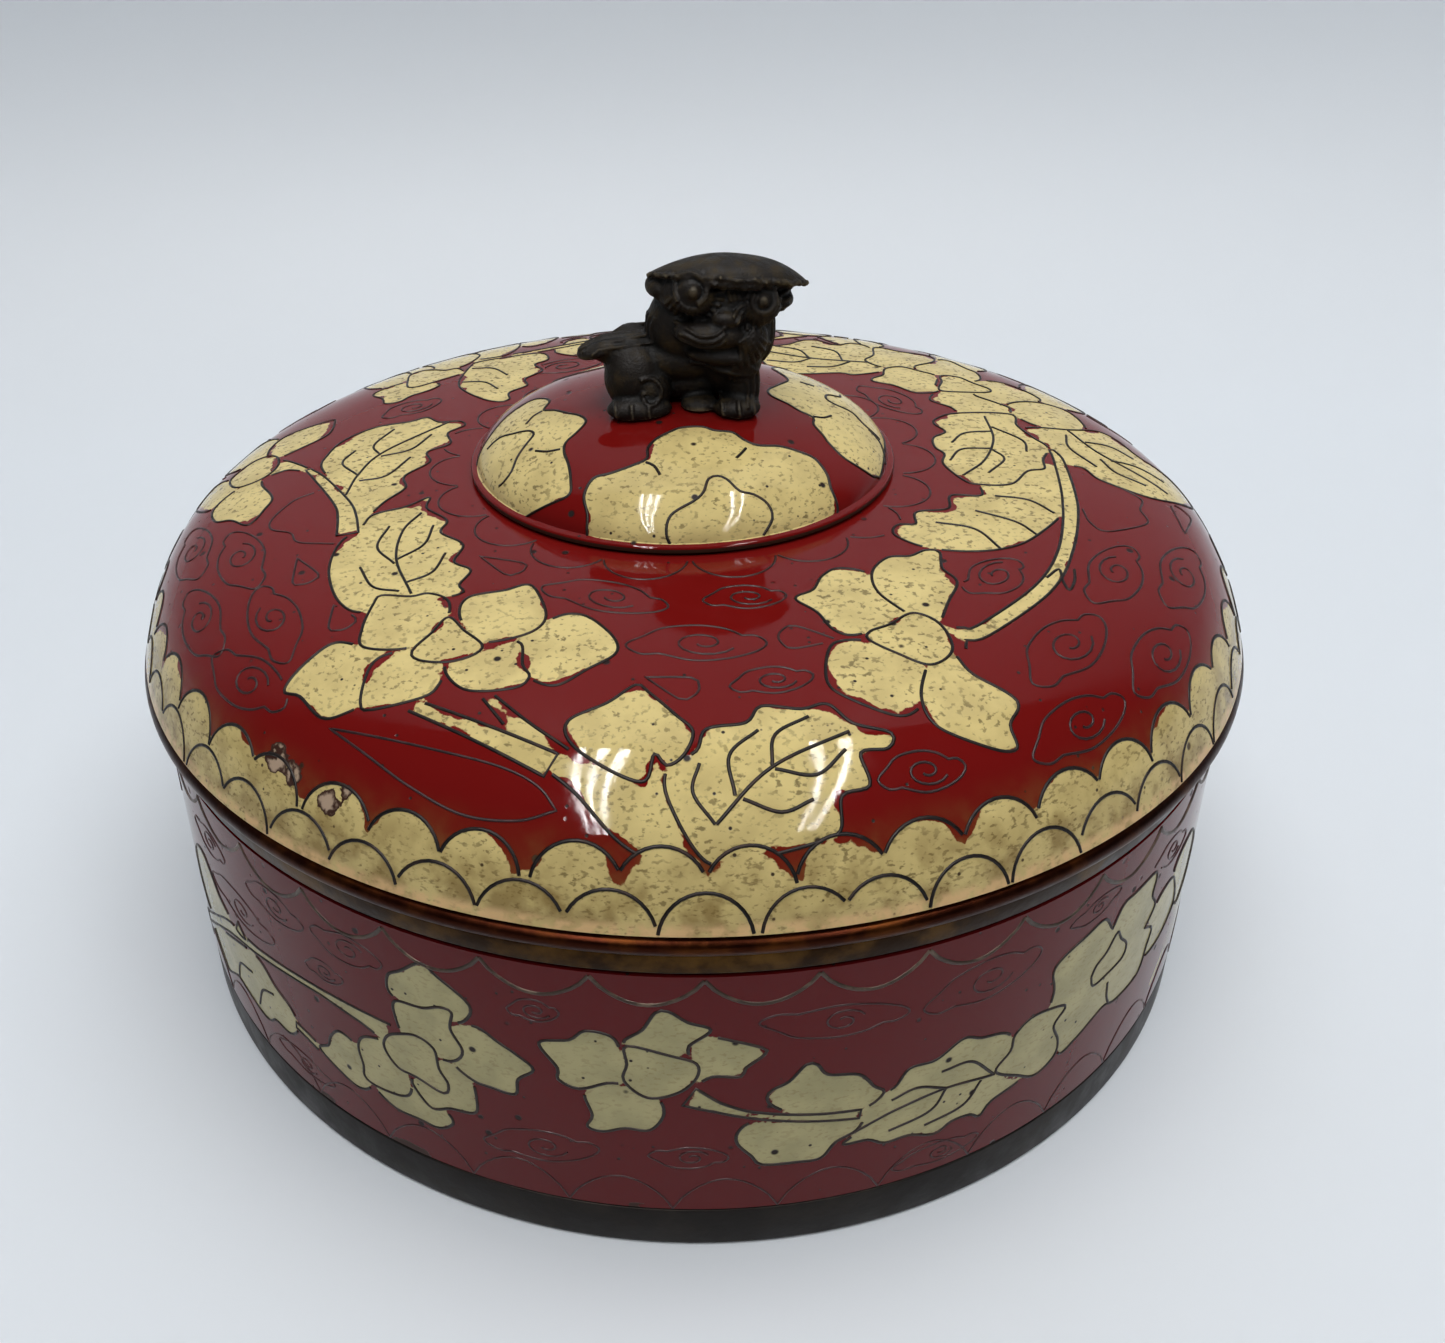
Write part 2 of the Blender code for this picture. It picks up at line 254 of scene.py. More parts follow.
def brown_low_and_glint(tree, place, glass, heights):
    """Glass browned in patches between two heights, most of all low down; the lid's rubbed edge gets a
    painted glint.
    """
    height = node(tree, "ShaderNodeSeparateXYZ", {"Vector": place}).outputs["Z"]
    low = step_between(tree, height, *heights)
    patch = step_between(tree, noise(tree, place, 2.6, 5.0), 0.38, 0.66, 0.25, 0.8)
    glass = mixed(tree, sum_of(tree, "MULTIPLY", low, patch), glass, LOW_BROWN)
    # The very edge is rubbed through to bare copper, painted pale gold as a glint of light on it
    edge = step_between(tree, height, lid_low.z + 1.3 * MM, lid_low.z + 0.5 * MM)
    wear_and_highlight = step_between(tree, noise(tree, place, 1.3, 4.0), 0.35, 0.6, 0.1, 0.8)
    return mixed(tree, sum_of(tree, "MULTIPLY", edge, wear_and_highlight), glass, RIM_GLINT)


def chipped(tree, place, glass, paste):
    """Chips lay the copper bare, and a share of pale broken paste clings to it."""
    chip = node(tree, "ShaderNodeAttribute", attribute_name="chip").outputs["Fac"]
    broken = sum_of(tree, "ADD", chip, sum_of(tree, "MULTIPLY", noise(tree, place, 0.9, 4.0), 1.6))
    bare = step_between(tree, broken, 0.85, 0.95)
    clinging = step_between(tree, noise(tree, place, 1.1, 4.0), 0.42, 0.52, 0.0, paste)
    clinging = sum_of(tree, "MULTIPLY", clinging, step_between(tree, broken, 1.0, 1.4))
    return mixed(tree, bare, glass, mixed(tree, clinging, COPPER_BARE, BROKEN_PASTE)), bare


# %% The enamel material
GLASS_IOR, GLASS_SPECULAR = 1.5, 0.16


def fired_enamel(name, cream_light, cream_dark, red, gap_mm, speckle, brown_band=None, paste=0.0):
    """Red and cream glass with pits and chips. Given two heights, it is also browned between them, with a
    painted glint at the lid's edge.
    """
    material, tree, shader, place = new_material(name)
    cream = speckled(tree, place, cream_light, cream_dark, speckle)
    glass = mixed(tree, in_cream(tree, place, gap_mm), red, cream)
    hole = sum_of(tree, "MAXIMUM", pits(tree, place, 3.2, 0.5, 0.35), pits(tree, place, 1.4, 0.22, 0.3))
    glass = mixed(tree, hole, glass, PIT_BROWN)
    if brown_band:
        glass = brown_low_and_glint(tree, place, glass, brown_band)
    glass, bare = chipped(tree, place, glass, paste)
    tree.links.new(glass, shader.inputs["Base Color"])

    # Polished glass, duller in the holes and on the bare copper
    dull = sum_of(tree, "MAXIMUM", hole, bare)
    wear = step_between(tree, noise(tree, place, 2.0, 3.0), 0.3, 0.8, 0.03, 0.09)
    tree.links.new(sum_of(tree, "ADD", wear, sum_of(tree, "MULTIPLY", dull, 0.4)), shader.inputs["Roughness"])
    shader.inputs["IOR"].default_value = GLASS_IOR
    shader.inputs["Specular IOR Level"].default_value = GLASS_SPECULAR

    peel = sum_of(tree, "MULTIPLY", noise(tree, place, 1.2, 3.0), 0.2)
    relief = sum_of(tree, "SUBTRACT", peel, dull)
    bump = node(tree, "ShaderNodeBump", {"Height": relief, "Strength": 0.3, "Distance": 0.1 * MM})
    tree.links.new(bump.outputs["Normal"], shader.inputs["Normal"])
    return material


lid_glass = fired_enamel(
    "fired_enamel_lid", LID_CREAM, LID_CREAM_SHADE, LID_RED, 0.75, 1.0, (48 * MM, 41 * MM), 0.95)
boss_glass = fired_enamel("fired_enamel_boss", LID_CREAM, LID_CREAM_SHADE, LID_RED, 0.5, 1.0)
# The wall's glass takes the darker colours, which paint shade on it
shaded_wall_glass = fired_enamel("fired_enamel_wall_shaded", SHADED_WALL_CREAM, SHADED_WALL_CREAM_DARK, SHADED_WALL_RED, 0.2, 0.45)

# %% [markdown]
# ## Copper and bronze
# The wires and bands are copper that has darkened to a brown oxide, lighter where fingers rub it.
# The lion is cast bronze with an almost black skin. A metal keeps the shader's default IOR, and its
# look comes from base colour and roughness. A skin of oxide is hardly metal any more, so most of
# these finishes have a metallic value below 1. Wear is cloudy noise a few millimetres wide.

# %% Copper and bronze materials
def old_metal(name, dark, light, size_mm, roughness, metallic=1.0):
    """Metal with a dark skin, rubbed lighter in patches."""
    material, tree, shader, place = new_material(name)
    rubbed = step_between(tree, noise(tree, place, size_mm, 5.0, 0.6), 0.45, 0.7)
    tree.links.new(mixed(tree, rubbed, colour(dark), colour(light)), shader.inputs["Base Color"])
    shader.inputs["Metallic"].default_value = metallic
    low, high = roughness
    rough = step_between(tree, noise(tree, place, size_mm / 2, 4.0), 0.35, 0.65, low, high)
    tree.links.new(rough, shader.inputs["Roughness"])
    grain = noise(tree, place, size_mm / 6, 4.0)
    bump = node(tree, "ShaderNodeBump", {"Height": grain, "Strength": 0.4, "Distance": 0.08 * MM})
    tree.links.new(bump.outputs["Normal"], shader.inputs["Normal"])
    return material


wire_copper = old_metal("oxidised_copper_wire", "150E0B", "2A1B13", 2.0, (0.35, 0.55), metallic=0.6)
cloud_copper = old_metal("reddened_copper_wire", "260A0A", "3C1211", 2.0, (0.3, 0.5), metallic=0.3)
wall_copper = old_metal("brown_copper_wire", "231813", "3C2E26", 2.0, (0.4, 0.6), metallic=0.4)
sunk_copper = old_metal("sunken_copper_wire", "360F0F", "451A18", 2.0, (0.3, 0.5), metallic=0.2)
rubbed_copper = old_metal("rubbed_copper_wire", "43342A", "6A5848", 2.0, (0.3, 0.5), metallic=0.5)
rim_copper = old_metal("worn_copper_lid_rim", "2E130A", "4A270F", 5.0, (0.30, 0.42))
mouth_copper = old_metal("worn_copper_mouth_rim", "241508", "513818", 5.0, (0.28, 0.40))
foot_copper = old_metal("worn_copper_foot", "1C1714", "2A241F", 6.0, (0.38, 0.5), metallic=0.8)
bronze = old_metal("dark_cast_bronze", "150E07", "30250F", 1.6, (0.5, 0.68), metallic=0.15)

# On the lion, what stands out is painted lighter: rubbed wear on the hair, painted highlight on
# the broad lumps. The sunken places are painted nearly black, as shade.
tree = bronze.node_tree
tree.nodes["Principled BSDF"].inputs["Specular IOR Level"].default_value = 0.2
tree.nodes["Bump"].inputs["Strength"].default_value = 0.9
skin = tree.nodes["Principled BSDF"].inputs["Base Color"]
raised = node(tree, "ShaderNodeAttribute", attribute_name="raised").outputs["Fac"]
# Painted lighter where raised: rubbed wear, and painted highlight on the broad lumps
wear_and_highlight = mixed(tree, step_between(tree, raised, 0.2, 0.6), skin.links[0].from_socket, colour("776A50"))
# Painted shade: the sunken places go almost black
hollow_shade = step_between(tree, raised, 0.04, -0.12, 0.0, 0.97)
tree.links.new(mixed(tree, hollow_shade, wear_and_highlight, colour("080604")), skin)
print("materials:", ", ".join(m.name for m in (lid_glass, boss_glass, shaded_wall_glass, wire_copper, bronze)))

# %% [markdown]
# ## Profiles of the vessel
# The lid, its boss and the wall are all turned shapes. Each outer profile is a short formula with
# the proportions of the CAD part: a soft curve for the lid, a quarter of an ellipse for the boss,
# and a slight taper for the wall. Points are taken along them at even distances, so that the
# patterns can be drawn flat, in millimetres, and then laid round the form as a maker bends wire.

# %% Outer profiles
BOSS_LIP = 0.6 * MM
BOSS_WALL = 1.8 * MM
WALL_THICK = 2.2 * MM
TOUCH = 0.3 * MM

boss_radius = BOSS_EDGE - BOSS_LIP
boss_rise = boss_high.z - boss_low.z
hole_radius = boss_radius - BOSS_WALL - TOUCH
rim_half = 0.95 * MM
spring_height = rim_low.z + rim_half


def lid_curve(share):
    """The lid's outer surface as (radius, height): 0 at the rim, 1 at the foot of the boss."""
    corners = np.array([
        (LID_RADIUS, spring_height),
        (LID_RADIUS - 4.4 * MM, spring_height + 14.3 * MM),
        (LID_RADIUS - 10.1 * MM, lid_high.z - 0.2 * MM),
        (hole_radius, lid_high.z)])
    weights = [math.comb(3, i) * share ** i * (1 - share) ** (3 - i) for i in range(4)]
    return sum(w[:, None] * corner for w, corner in zip(weights, corners))


def boss_curve(share):
    """The boss's outer surface from its top at 0 to its edge at 1."""
    angle = math.pi / 2 * (1 - share)
    return np.stack([boss_radius * np.cos(angle), boss_low.z + boss_rise * np.sin(angle)], 1)


class Roll:
    """A turned surface that a flat drawing is laid on: distance from the middle runs down its profile."""

    def __init__(self, profile, first):
        steps = np.linalg.norm(np.diff(profile, axis=0), axis=1)
        self.run = first + np.r_[0, np.cumsum(steps)]
        self.profile = profile

    def at(self, run):
        radius, height = (np.interp(run, self.run, column) for column in self.profile.T)
        return radius, height

    def lay(self, flat, lift=0.0):
        """Points on the surface for flat points in millimetres, moved out by lift."""
        run, angle = np.hypot(*flat.T) * MM, np.arctan2(flat[:, 1], flat[:, 0])
        radius, height = self.at(run)
        radius_on, height_on = self.at(run + 0.1 * MM)
        slope = np.stack([radius_on - radius, height_on - height], 1)
        slope /= np.linalg.norm(slope, axis=1, keepdims=True) + 1e-12
        radius, height = radius - slope[:, 1] * lift, height + slope[:, 0] * lift
        return np.stack([radius * np.cos(angle), radius * np.sin(angle), height], 1)

    def unroll(self, places):
        """The flat points, in millimetres, of places on or near the surface."""
        radius = np.hypot(places[:, 0], places[:, 1])
        drop = self.profile[:, 0] - self.profile[:, 1]
        run = np.interp(radius - places[:, 2], drop, self.run) / MM
        return places[:, :2] / (radius[:, None] + 1e-9) * run[:, None]


lid_roll = Roll(lid_curve(np.linspace(1, 0, 600)), hole_radius)
boss_roll = Roll(boss_curve(np.linspace(0, 1, 300)), 0.0)
LID_EDGE_MM = lid_roll.run[-1] / MM
BOSS_EDGE_MM = boss_roll.run[-1] / MM
print(f"unrolled, the lid is {2 * LID_EDGE_MM:.1f} mm across and the boss {2 * BOSS_EDGE_MM:.1f} mm")

# %% [markdown]
# ## Drawing with wire
# A cloisonné worker bends each wire round a paper pattern. Here a pattern is a handful of points
# with a soft curve through them, and a point given twice is a sharp corner. Curves could also be
# drawn as Bezier handles, but points on the line are easier to read off and to change. A stem is
# a line with a width at each point.

# %% Soft curves and ribbons
WIRE_STEP_MM = 0.45


def bend(points, closed=False):
    """A soft curve through the points, which turns sharply where a point is given twice."""
    points = [tuple(point) for point in points]
    corners = [i for i in range(1, len(points)) if points[i] == points[i - 1]]
    if corners and closed:
        first = corners[0]
        return bend(points[first:] + points[:first - 1] + [points[first]])
    if corners:
        cut = corners[0]
        return np.vstack([bend(points[:cut]), bend(points[cut:])])
    p = np.array(points, float)
    if len(p) == 2:
        share = np.linspace(0, 1, max(2, int(np.linalg.norm(p[1] - p[0]) / WIRE_STEP_MM)))
        return p[0] + (p[1] - p[0]) * share[:, None]
    ends = (p[-1], p[0], p[1]) if closed else (2 * p[0] - p[1], 2 * p[-1] - p[-2])
    p = np.vstack([ends[0], p, *ends[1:]])
    line = []
    for before, here, there, after in zip(p, p[1:], p[2:], p[3:]):
        count = max(2, round(np.linalg.norm(there - here) / WIRE_STEP_MM))
        t = np.linspace(0, 1, count, endpoint=False)[:, None]
        line.append(here + 0.5 * t * (there - before + t * (
            2 * before - 5 * here + 4 * there - after + t * (3 * (here - there) + after - before))))
    if not closed:
        line.append(p[-2:-1])
    return np.vstack(line)


def ribbon(spine, widths):
    """The outline of a stem along a spine, with its width at each point."""
    line = bend(spine)
    nearest = [np.argmin(np.linalg.norm(line - point, axis=1)) for point in np.array(spine)]
    half = np.interp(np.arange(len(line)), nearest, widths)[:, None] / 2
    along = np.gradient(line, axis=0)
    along /= np.linalg.norm(along, axis=1, keepdims=True)
    side = np.stack([-along[:, 1], along[:, 0]], 1)
    return np.vstack([line + side * half, (line - side * half)[::-1]])


def outline_of(points):
    """Points to bend become a closed outline, and a ribbon's outline stays as it is."""
    return bend(points, closed=True) if isinstance(points, list) else points


def around(middle, reach, angle):
    """Flat points at given angles and distances from a middle."""
    return np.stack([middle[0] + reach * np.cos(angle), middle[1] + reach * np.sin(angle)], 1)


def turned_flat(points, degrees, place=(0, 0)):
    """Flat points turned about the origin and then moved."""
    c, s = math.cos(math.radians(degrees)), math.sin(math.radians(degrees))
    points = np.array(points, float)
    return points @ np.array([[c, s], [-s, c]]) + place


# %% How deep a point lies in a drawn outline
def depth_in(points, outline):
    """Distance to a closed outline in millimetres, positive inside and negative outside."""
    begin, finish = outline, np.roll(outline, -1, axis=0)
    edge = finish - begin
    away = points[:, None] - begin
    share = np.clip((away * edge).sum(-1) / ((edge ** 2).sum(-1) + 1e-12), 0, 1)
    gap = np.linalg.norm(away - share[..., None] * edge, axis=-1).min(1)
    level = points[:, 1, None]
    crosses = (begin[:, 1] > level) != (finish[:, 1] > level)
    rise = np.where(edge[:, 1] == 0, 1e-12, edge[:, 1])
    meets = begin[:, 0] + (level - begin[:, 1]) * edge[:, 0] / rise
    odd = (crosses & (points[:, 0, None] < meets)).sum(1) % 2
    return np.where(odd == 1, gap, -gap)


def stretches(line, closed, shown):
    """The parts of a line that are shown, each with whether it closes on itself."""
    if shown.all():
        return [(line, closed)]
    if not shown.any():
        return []
    if closed:
        first = int(np.argmin(shown))
        line, shown = np.roll(line, -first, axis=0), np.roll(shown, -first)
    ends = np.flatnonzero(np.diff(np.r_[0, shown.astype(int), 0]))
    return [(line[a:b], False) for a, b in zip(ends[::2], ends[1::2]) if b - a > 2]


# %% A pattern of shapes and wires
# What lies in no cream shape and in no chip counts as this many millimetres outside it
OUTSIDE_MM = -3.0
WIRE_MARGIN_MM = 0.45


class Pattern:
    """The cream shapes and the wires of one surface. Shapes laid first lie on top."""

    def __init__(self):
        self.shapes = []
        self.wires = []

    def open_parts(self, line, closed):
        """The stretches of a wire that no shape laid before it covers."""
        shown = np.ones(len(line), bool)
        for shape in self.shapes:
            shown &= depth_in(line, shape) < -WIRE_MARGIN_MM
        return stretches(line, closed, shown)

    def under(self, line, closed=False):
        """Lays a wire that passes under the shapes laid before it."""
        self.wires += self.open_parts(line, closed)

    def shape(self, outline):
        """Lays a cream shape and the wire round it."""
        self.under(outline, closed=True)
        self.shapes.append(outline)

    def line(self, points):
        """Lays a single wire over whatever is there."""
        self.wires.append((bend(points), False))

    def cream_at(self, flat):
        """For each flat point, how many millimetres it lies inside the cream."""
        deepest = np.full(len(flat), OUTSIDE_MM)
        reach_mm = 1.6
        for shape in self.shapes:
            low, high = shape.min(0) - reach_mm, shape.max(0) + reach_mm
            near = ((flat > low) & (flat < high)).all(1)
            if near.any():
                deepest[near] = np.maximum(deepest[near], depth_in(flat[near], shape[::2]))
        return deepest


# %% [markdown]
# ## The pattern of the lid
# Seen flat, the lid carries sprays of plum blossom and leaves round the boss, with clouds between
# them. Each petal and leaf is its own cell of wire. The places below are millimetres on the
# unrolled lid, with the middle at (0, 0) and the viewer below, read off the photograph: a point
# where a lobe is widest, and one in each notch. The soft curve does the rest. A shape listed
# earlier lies on top, and the wire of a later one stops where it meets it.

# %% Blossom and leaves at the left
LEFT_BLOSSOM = [
    [(-23, -31.7), (-21.4, -34), (-19.7, -36.4), (-20.6, -37.8), (-22.8, -38.3), (-25.2, -37.6),
     (-25.9, -36.3), (-24.4, -34)],
    [(-30.2, -28.4), (-29.6, -27.1), (-26.8, -27.7), (-25.2, -27.4), (-23.4, -28.6), (-23, -31),
     (-24, -34), (-26.4, -35.8), (-30.4, -34.8), (-30.8, -32)],
    [(-22, -31.5), (-21.4, -28.6), (-18, -27.7), (-16.2, -26.9), (-15.2, -27.9), (-14.2, -32.4),
     (-15.4, -34.9), (-18.6, -36), (-20.4, -35.4)],
    [(-22.8, -38.6), (-19.4, -36.6), (-18, -35.9), (-16.3, -36.6), (-16.1, -39.6), (-15.5, -41.2),
     (-16.8, -42.5), (-21, -42)],
    [(-17, -35.5), (-13.6, -33), (-11.8, -32.4), (-10.1, -33.4), (-8.2, -36.6), (-8.2, -38.9),
     (-10.6, -40.8), (-13.2, -42.6), (-15.4, -41.4), (-16.3, -38.4)],
    [(-22.8, -38.2), (-23.2, -41), (-24.6, -42.3), (-29, -42.6), (-30.1, -41.6), (-29.5, -37.6),
     (-28, -36.3), (-25, -36.3)],
    [(-30.2, -34.9), (-33, -33.6), (-35.2, -35), (-37.6, -37.8), (-36, -39.1), (-33.8, -42),
     (-31.6, -42.3), (-29.9, -41.4), (-29.2, -37.4), (-28, -35.9)],
]
LEFT_LEAVES = [
    [(-22.4, -28), (-22.4, -26.2), (-21.5, -23.6), (-23.2, -21.8), (-22.6, -18.4), (-25, -15.6),
     (-24.6, -13), (-26.9, -10), (-26.9, -7.5), (-29.2, -9.4), (-32.4, -10.8), (-33.3, -13.4),
     (-35.1, -16.6), (-35.3, -21.9), (-33.4, -27.6), (-30.2, -29.7)],
    [(-39.9, 2.6), (-39.8, 5.4), (-38.5, 9.5), (-35.2, 12.8), (-31.2, 13.8), (-29.2, 14.8),
     (-27.6, 13.1), (-25.2, 13), (-24.5, 11.6), (-26.3, 9.6), (-25.8, 6.4), (-28.2, 4.4),
     (-27.7, 1.6), (-30.1, -1.8), (-29.7, -4.8), (-31.6, -8), (-32.8, -11.2), (-33.4, -13.8),
     (-36, -5.6), (-38, -1.8)],
]
LEFT_STEM = ribbon(
    [(-41.3, 2.2), (-39.4, -0.9), (-36.1, -7.4), (-35.1, -10.8), (-34.5, -14.6)],
    [0.6, 1.2, 1.6, 1.9, 2.2])
LEFT_VEINS = [
    [(-26.8, -27.2), (-28.9, -20.6), (-28.9, -14.8), (-27.4, -11)],
    [(-28, -26.6), (-30.6, -25.4), (-32.3, -21.6)],
    [(-29, -21.4), (-31.1, -17.8), (-30.4, -13.6)],
    [(-27.6, -25.2), (-25.2, -23.6), (-24.2, -20)],
    [(-28.8, -20.6), (-26.5, -18), (-25.9, -14)],
    [(-36, -5.5), (-35.3, -0.4), (-33.2, 5.2), (-26.4, 13)],
    [(-35.4, -0.6), (-37.6, 3), (-36.6, 6.2)],
    [(-33.6, 4.6), (-34.6, 7.4), (-32.8, 11.8)],
    [(-35, -2.2), (-32.2, -1.4), (-30, 3.2)],
    [(-33.4, 4), (-30.2, 5.4), (-28.2, 9.4)],
]
SIDE_BLOSSOM = [
    [(-50.2, 7.8), (-48.4, 9.1), (-46.4, 8.4), (-45.4, 5.6), (-45.9, 3), (-47.6, 1.5), (-49.8, 1.8),
     (-51.4, 5.2)],
    [(-47.2, 8.4), (-47.8, 11.6), (-46.6, 15.1), (-42.8, 16.8), (-41, 17.4), (-40.6, 16.6),
     (-40.7, 12.4), (-43.2, 9.4), (-45.8, 7.4)],
    [(-46.2, 0), (-44.3, -3.8), (-44.6, -6.4), (-45.8, -9.4), (-48.2, -7.2), (-50.4, -6),
     (-51.6, -2.6), (-50, 0.4), (-47, 2.2)],
    [(-56.4, 5), (-55.4, 1.8), (-52.6, -1.7), (-50.8, -0.6), (-49.4, 1.2), (-51, 5), (-55, 7.8)],
    [(-50, 8.2), (-47.6, 9.2), (-47.5, 15), (-51.4, 18), (-53.6, 15.5), (-54.3, 11.6), (-52, 8.6)],
    [(-45.5, 6.4), (-42.6, 4), (-40.6, 1.2), (-43.7, 3), (-45.9, 2.6)],
]

# %% Blossom and leaves at the right
RIGHT_BLOSSOM = [
    [(18.2, -34.3), (20.2, -36), (20.5, -39.6), (18.2, -41.6), (15.6, -40.1), (13.6, -38.2),
     (13.9, -37), (15.8, -36)],
    [(17.7, -34.4), (15.8, -30.8), (15.9, -27.2), (17.8, -24.6), (20, -24.4), (21.6, -23.4),
     (22.9, -23.8), (22.5, -26.8), (23.3, -29.2), (21.8, -32.4), (19.4, -37)],
    [(17.4, -34.4), (15.2, -36.3), (12.4, -37.5), (10.8, -36.6), (9.8, -33.8), (8.2, -31.4),
     (10, -30), (11.2, -27.6), (13, -26.3), (15.6, -27.6), (17.6, -32.4)],
    [(18.1, -41.2), (16.7, -45.4), (17.6, -48.4), (22, -49.9), (24.3, -49.6), (23.9, -47.6),
     (24.9, -45.2), (21.6, -42.6), (20.5, -40.2), (19, -39.5)],
    [(13.8, -38.4), (11.2, -38.3), (9.9, -39.6), (9.2, -43.8), (11, -45.9), (14.6, -47.5),
     (16.8, -46), (18.2, -43), (16, -39.6)],
]
RIGHT_STEM = ribbon(
    [(20.8, -37.9), (21.8, -37.4), (23.8, -36.9), (30.8, -30.4), (35, -23.6), (38.4, -14.2),
     (40.4, -4), (40.5, -0.8)],
    [3.6, 1.8, 1.5, 1.5, 1.3, 1.5, 1.1, 0.5])
THORN = [(31.8, -28.4), (33.4, -26.9), (33.2, -29), (33.4, -30.3), (34.4, -28.6), (34.9, -26.8)]
RIGHT_LEAVES = [
    [(32.6, 9.6), (29.8, 8), (29.3, 6.4), (30, 4.2), (28.3, 2.6), (27.9, 0), (28.5, -1.8),
     (27.8, -4.4), (28.9, -8.4), (30.2, -9.6), (33.6, -9.6), (36.2, -6.5), (38.2, -5.8),
     (38.8, -3.4), (40.3, -0.2), (39.4, 2.6), (38.6, 6), (38.8, 9.4)],
    [(19.5, -18.9), (20.4, -18), (21.9, -18), (22.5, -15.5), (25.8, -14.9), (26.8, -12),
     (29.9, -12.1), (30.6, -8.6), (34, -6.5), (39.2, -4.6), (38.8, -9.6), (37.2, -15.6),
     (33.2, -20.6), (30, -23), (26, -23.8), (22, -22.9), (19.6, -20.6)],
    [(39.2, 5), (40.8, -0.6), (40.5, -4.4), (42.6, -5.2), (43.8, -8.2), (48.6, -10.4), (55, -7.4),
     (57, -4), (56.2, -1), (51.8, 1.2), (50.4, 5.2), (48.6, 6.8), (44.6, 5.6)],
]
RIGHT_VEINS = [
    [(23.9, -17.8), (27.4, -19.4), (28.9, -23.4)], [(28.4, -15.5), (31.8, -18), (33.1, -20.5)],
    [(31.2, -12.3), (34.4, -13.3), (36.2, -16.1)],
    [(35.6, 8.6), (34.9, 2.2), (32.4, -3.6), (29.2, -7.3)],
    [(30, 1.2), (32, 3.7), (35.2, 4.2)], [(35.6, 5.4), (38, 1.6), (37.6, -1.4)],
    [(28.7, -3.5), (30.6, -0.7), (33.8, -0.6)], [(34, -1), (34.6, -3.4), (32, -6.8)],
    [(44.3, 5.3), (46.2, -1.2), (51.5, -7.7)], [(43.6, 3.8), (42.8, 0), (44.3, -4.6)],
    [(45.5, -2.4), (46.2, -5.6), (48.9, -7.5)], [(45.3, 2.2), (48.2, 2), (50.2, -0.2)],
    [(46.7, -2.4), (49.6, -2.6), (52.5, -4.3)],
]
RIGHT_CLUSTER = [
    [(33.8, 22.6), (35.9, 22.3), (37.2, 20.2), (38.7, 18), (37.8, 16.7), (33.3, 16.7), (32.4, 17.7),
     (33.4, 20.4)],
    [(25.1, 21.6), (26.6, 22.8), (27.4, 25.2), (29.6, 25.9), (31.4, 24.4), (33.2, 22.4), (32.3, 19),
     (32.1, 16.8), (29.4, 16.3), (27.2, 19), (25.1, 20.4)],
    [(27, 25.9), (25.5, 28.6), (27, 31), (27.8, 34.8), (29.2, 34.9), (31.1, 33.4), (34.2, 32.8),
     (35, 31), (34, 28.5), (31.4, 26.4), (31.1, 25.2), (29.2, 25.9)],
    [(31.4, 26.2), (34.2, 28.3), (35.4, 30.4), (36.9, 30.7), (38.1, 27.1), (39, 25.2), (38.7, 22.2),
     (37.2, 20.9), (34.7, 22.6), (32.2, 23.2)],
    [(34.8, 30), (35.2, 34), (37.5, 36.5), (41, 33), (41.2, 28.2), (38.8, 26.2), (37.2, 29.4)],
    [(32.3, 16.8), (30.5, 14), (32.4, 11.4), (32.9, 9.2), (34.4, 8), (36, 9), (38.4, 9.3),
     (39.3, 11.4), (38.1, 13.2), (36.3, 15.4), (36, 17.2)],
    [(39.4, 12.7), (43.1, 14.4), (46.2, 13.4), (47.2, 10.8), (46.9, 6.4), (45.2, 5.2), (41.6, 5.6),
     (39.5, 8.4)],
    [(36.9, 20.6), (40.6, 21.6), (42.8, 19.9), (44.4, 16.2), (43.1, 14.4), (40.6, 13.6),
     (38.1, 13.2), (36.1, 16.4), (37.6, 17)],
    [(43, 18.6), (43.8, 22.2), (46, 24.4), (48.6, 22), (50.4, 17), (48.8, 13.8), (45.2, 13.9),
     (44, 16.2)],
]

# %% Blossom and leaves at the back
BACK_RIGHT_LEAF = [
    [(14, 35), (16.6, 35.9), (18.8, 38), (20.8, 38.2), (23, 35.7), (25.2, 37), (27, 35.6),
     (27.5, 31.5), (26, 28.5), (27.2, 24.6), (23.2, 23), (21.4, 23.8), (16, 24), (13, 27),
     (12.4, 31.5)],
    [(26.6, 36.3), (28.4, 35.4), (29.6, 37), (29.2, 40), (28, 43), (26.4, 41)],
]
BACK_RIGHT_VEINS = [
    [(13.4, 33), (19, 29.6), (25.6, 27.7)], [(14.8, 35.2), (17.6, 33.4), (18.5, 30)],
    [(19.6, 34.9), (22.3, 32.6), (22.6, 28.6)], [(13, 29.4), (16.4, 28.3), (18.6, 29.6)],
    [(17.7, 26.5), (20.8, 26.2), (23.4, 28)],
]
